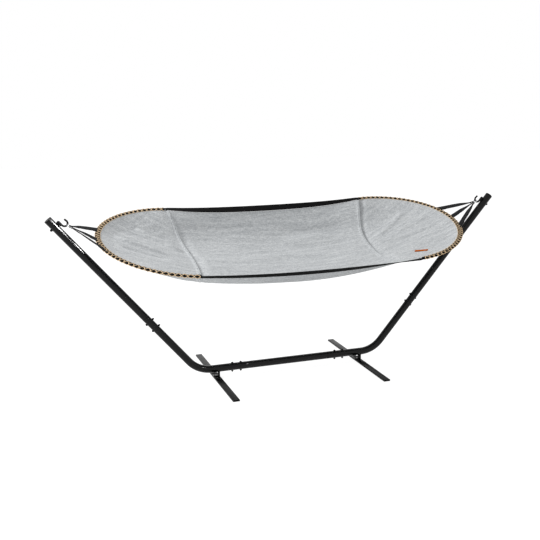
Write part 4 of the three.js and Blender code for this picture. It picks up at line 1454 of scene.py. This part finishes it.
def make_strap(rim_angle, lean):
    """One strap's skin, and the places of its stitches. It leans about its own line as it nears the rim."""
    rim_centre = bed_place @ rim_point(rim_angle)
    to_rim = rim_centre - ring_centre
    ring_angle = math.atan2(to_rim.y, to_rim.dot(pull))
    outward = pull * math.cos(ring_angle) + sideways * math.sin(ring_angle)
    tangent = sideways * math.cos(ring_angle) - pull * math.sin(ring_angle)
    on_ring = ring_centre + outward * ring_radius
    run = rim_centre - on_ring
    along = run.normalized()
    ring_across = (tangent - along * tangent.dot(along)).normalized()
    ring_thick = along.cross(ring_across)
    if ring_thick.z < 0:
        ring_thick = -ring_thick
    eye = on_ring + along * eye_gap
    rim_along = bed_place.to_3x3() @ rim_tangent(rim_angle)
    slant = rim_along.dot(along) / math.hypot(rim_along.dot(ring_thick), rim_along.dot(ring_across))
    stops = strap_path(run.length - eye_gap)
    run_first = lap_stops + eye_stops - 1
    run_last = run_first + run_stops
    edge = strap_thickness * 0.28
    face = strap_thickness / 2
    rings = []
    for i, (a, t, turning) in enumerate(stops):
        before, after = stops[max(i - 1, 0)], stops[min(i + 1, len(stops) - 1)]
        flow = Vector((after[0] - before[0], after[1] - before[1])).normalized()
        twist = lean * turning
        across = ring_across * math.cos(twist) + ring_thick * math.sin(twist)
        thick = ring_thick * math.cos(twist) - ring_across * math.sin(twist)
        half = strap_half_width(a)
        lower = [(-half, edge - face), (edge - half, -face), (half - edge, -face), (half, edge - face)]
        upper = [(half, face - edge), (half - edge, face), (edge - half, face), (-half, face - edge)]
        near_rim = max(0.0, min(1.0, 1 - (stops[run_last][0] - a) / 0.06)) if turning > 0 else 0.0
        ring = []
        for side, depth in lower + upper:
            reach = a - flow.y * depth + side * slant * near_rim
            ring.append(eye + along * reach + thick * (t + flow.x * depth) + across * side)
        rings.append(ring)
    main_run = rings[run_first:run_last]
    thread = []
    for before, ring_here in zip(main_run, main_run[1:]):
        along = (ring_here[5] - before[5]).normalized()
        across = (ring_here[5] - ring_here[6]).normalized()
        normal = along.cross(across)
        if normal.dot(ring_here[5] - ring_here[2]) < 0:
            normal = -normal
        for share in (0.08, 0.92):
            here = before[6].lerp(before[5], share)
            gap = ring_here[6].lerp(ring_here[5], share) - here
            for part in (0.25, 0.75):
                thread.append((here + gap * part + normal * stitch_lift, gap.normalized(), normal))
    for row in cross_rows:
        left, right = main_run[row][6], main_run[row][5]
        normal = (main_run[row][5] - main_run[row][2]).normalized()
        for part in range(1, 12):
            at = left.lerp(right, part / 12) + normal * stitch_lift
            thread.append((at, (right - left).normalized(), normal))
    return make_skin("strap", rings), thread


strap_angles = [(17.5, 11), (-0.5, 16), (-18.5, 9)]
strap_thread = []
for number, (degrees, lean) in enumerate(strap_angles, 1):
    strap, thread = make_strap(math.radians(degrees), math.radians(lean))
    strap_thread += thread
    smooth(strap, 50)
    fit_both_ends(strap, f"strap_{number}", "bed", webbing)
strap_stitches = make_stitches(
    "right_strap_stitches", strap_thread, strap_stitch, webbing, frame_of=Matrix()
)
add_detail(copied(strap_stitches, mirror), "left_strap_stitches", webbing)

# The label is a blank woven tab in rust orange. It is sewn flat on the right end panel beside the near rim,
# with a row of stitches along both of its long sides.
label_cloth, tree, shader, place = new_finish("label_cloth", roughness=0.8, specular_ior_level=0.12)
label_weave = add_weave(tree, place.outputs["UV"], 0.0007, 0.0009)
label_noise = add_noise(tree, place.outputs["Object"], 300, 3)
# The raised yarns of the weave are painted lighter and the hollows between them darker, as painted shade,
# over a random tone.
painted_weave_shade = add_range(tree, label_weave, 0.1, 0.6, 0.0, 1.0)
label_noise_and_weave_shade = add_math(tree, "ADD", painted_weave_shade, add_range(tree, label_noise, 0.0, 0.4))
paint(tree, shader, label_noise_and_weave_shade, (0.1, (0.27, 0.045, 0.0)), (0.9, (0.50, 0.118, 0.004)))
add_bump(tree, shader, label_weave, 0.5, 0.0003)

label_length = 0.085
label_width = 0.027
label_middle = Vector((seam_reach + 0.157, -0.226))
label_turn = math.radians(-37)
label_thickness = 0.0009
label_clearance = 0.0026


def on_label(along, place):
    """Where a point of the label lies: a little above the cloth, turned to run with the rim."""
    reach = along * label_length / 2
    side = place * label_width / 2
    x = label_middle.x + reach * math.cos(label_turn) - side * math.sin(label_turn)
    y = label_middle.y + reach * math.sin(label_turn) + side * math.cos(label_turn)
    point = fabric_at(x, y)
    slope_x = (fabric_at(x + 0.002, y) - fabric_at(x - 0.002, y)).normalized()
    slope_y = (fabric_at(x, y + 0.002) - fabric_at(x, y - 0.002)).normalized()
    normal = slope_x.cross(slope_y).normalized()
    return point + Vector((0, 0, fold_rise(right_folds, x, y))) + normal * label_clearance


label = make_sheet("label_tab", 34, 14, (label_width, label_length), label_thickness, on_label)
face_out(label)
soften_edges(label, 0.0003, 2)
smooth(label, 60)
fit(label, "label_tab", "bed", label_cloth)
label_stitches = 22
label_stitch = 0.0028
thread = []
for side in (-0.86, 0.86):
    for step in range(label_stitches):
        along = (2 * step / (label_stitches - 1) - 1) * 0.93
        at = on_label(along, side)
        line, _, normal = cloth_frame(at, on_label(along + 0.01, side), on_label(along, side + 0.03))
        thread.append((at + normal * 0.0002, line, normal))
make_stitches("label_stitches", thread, label_stitch, label_cloth)
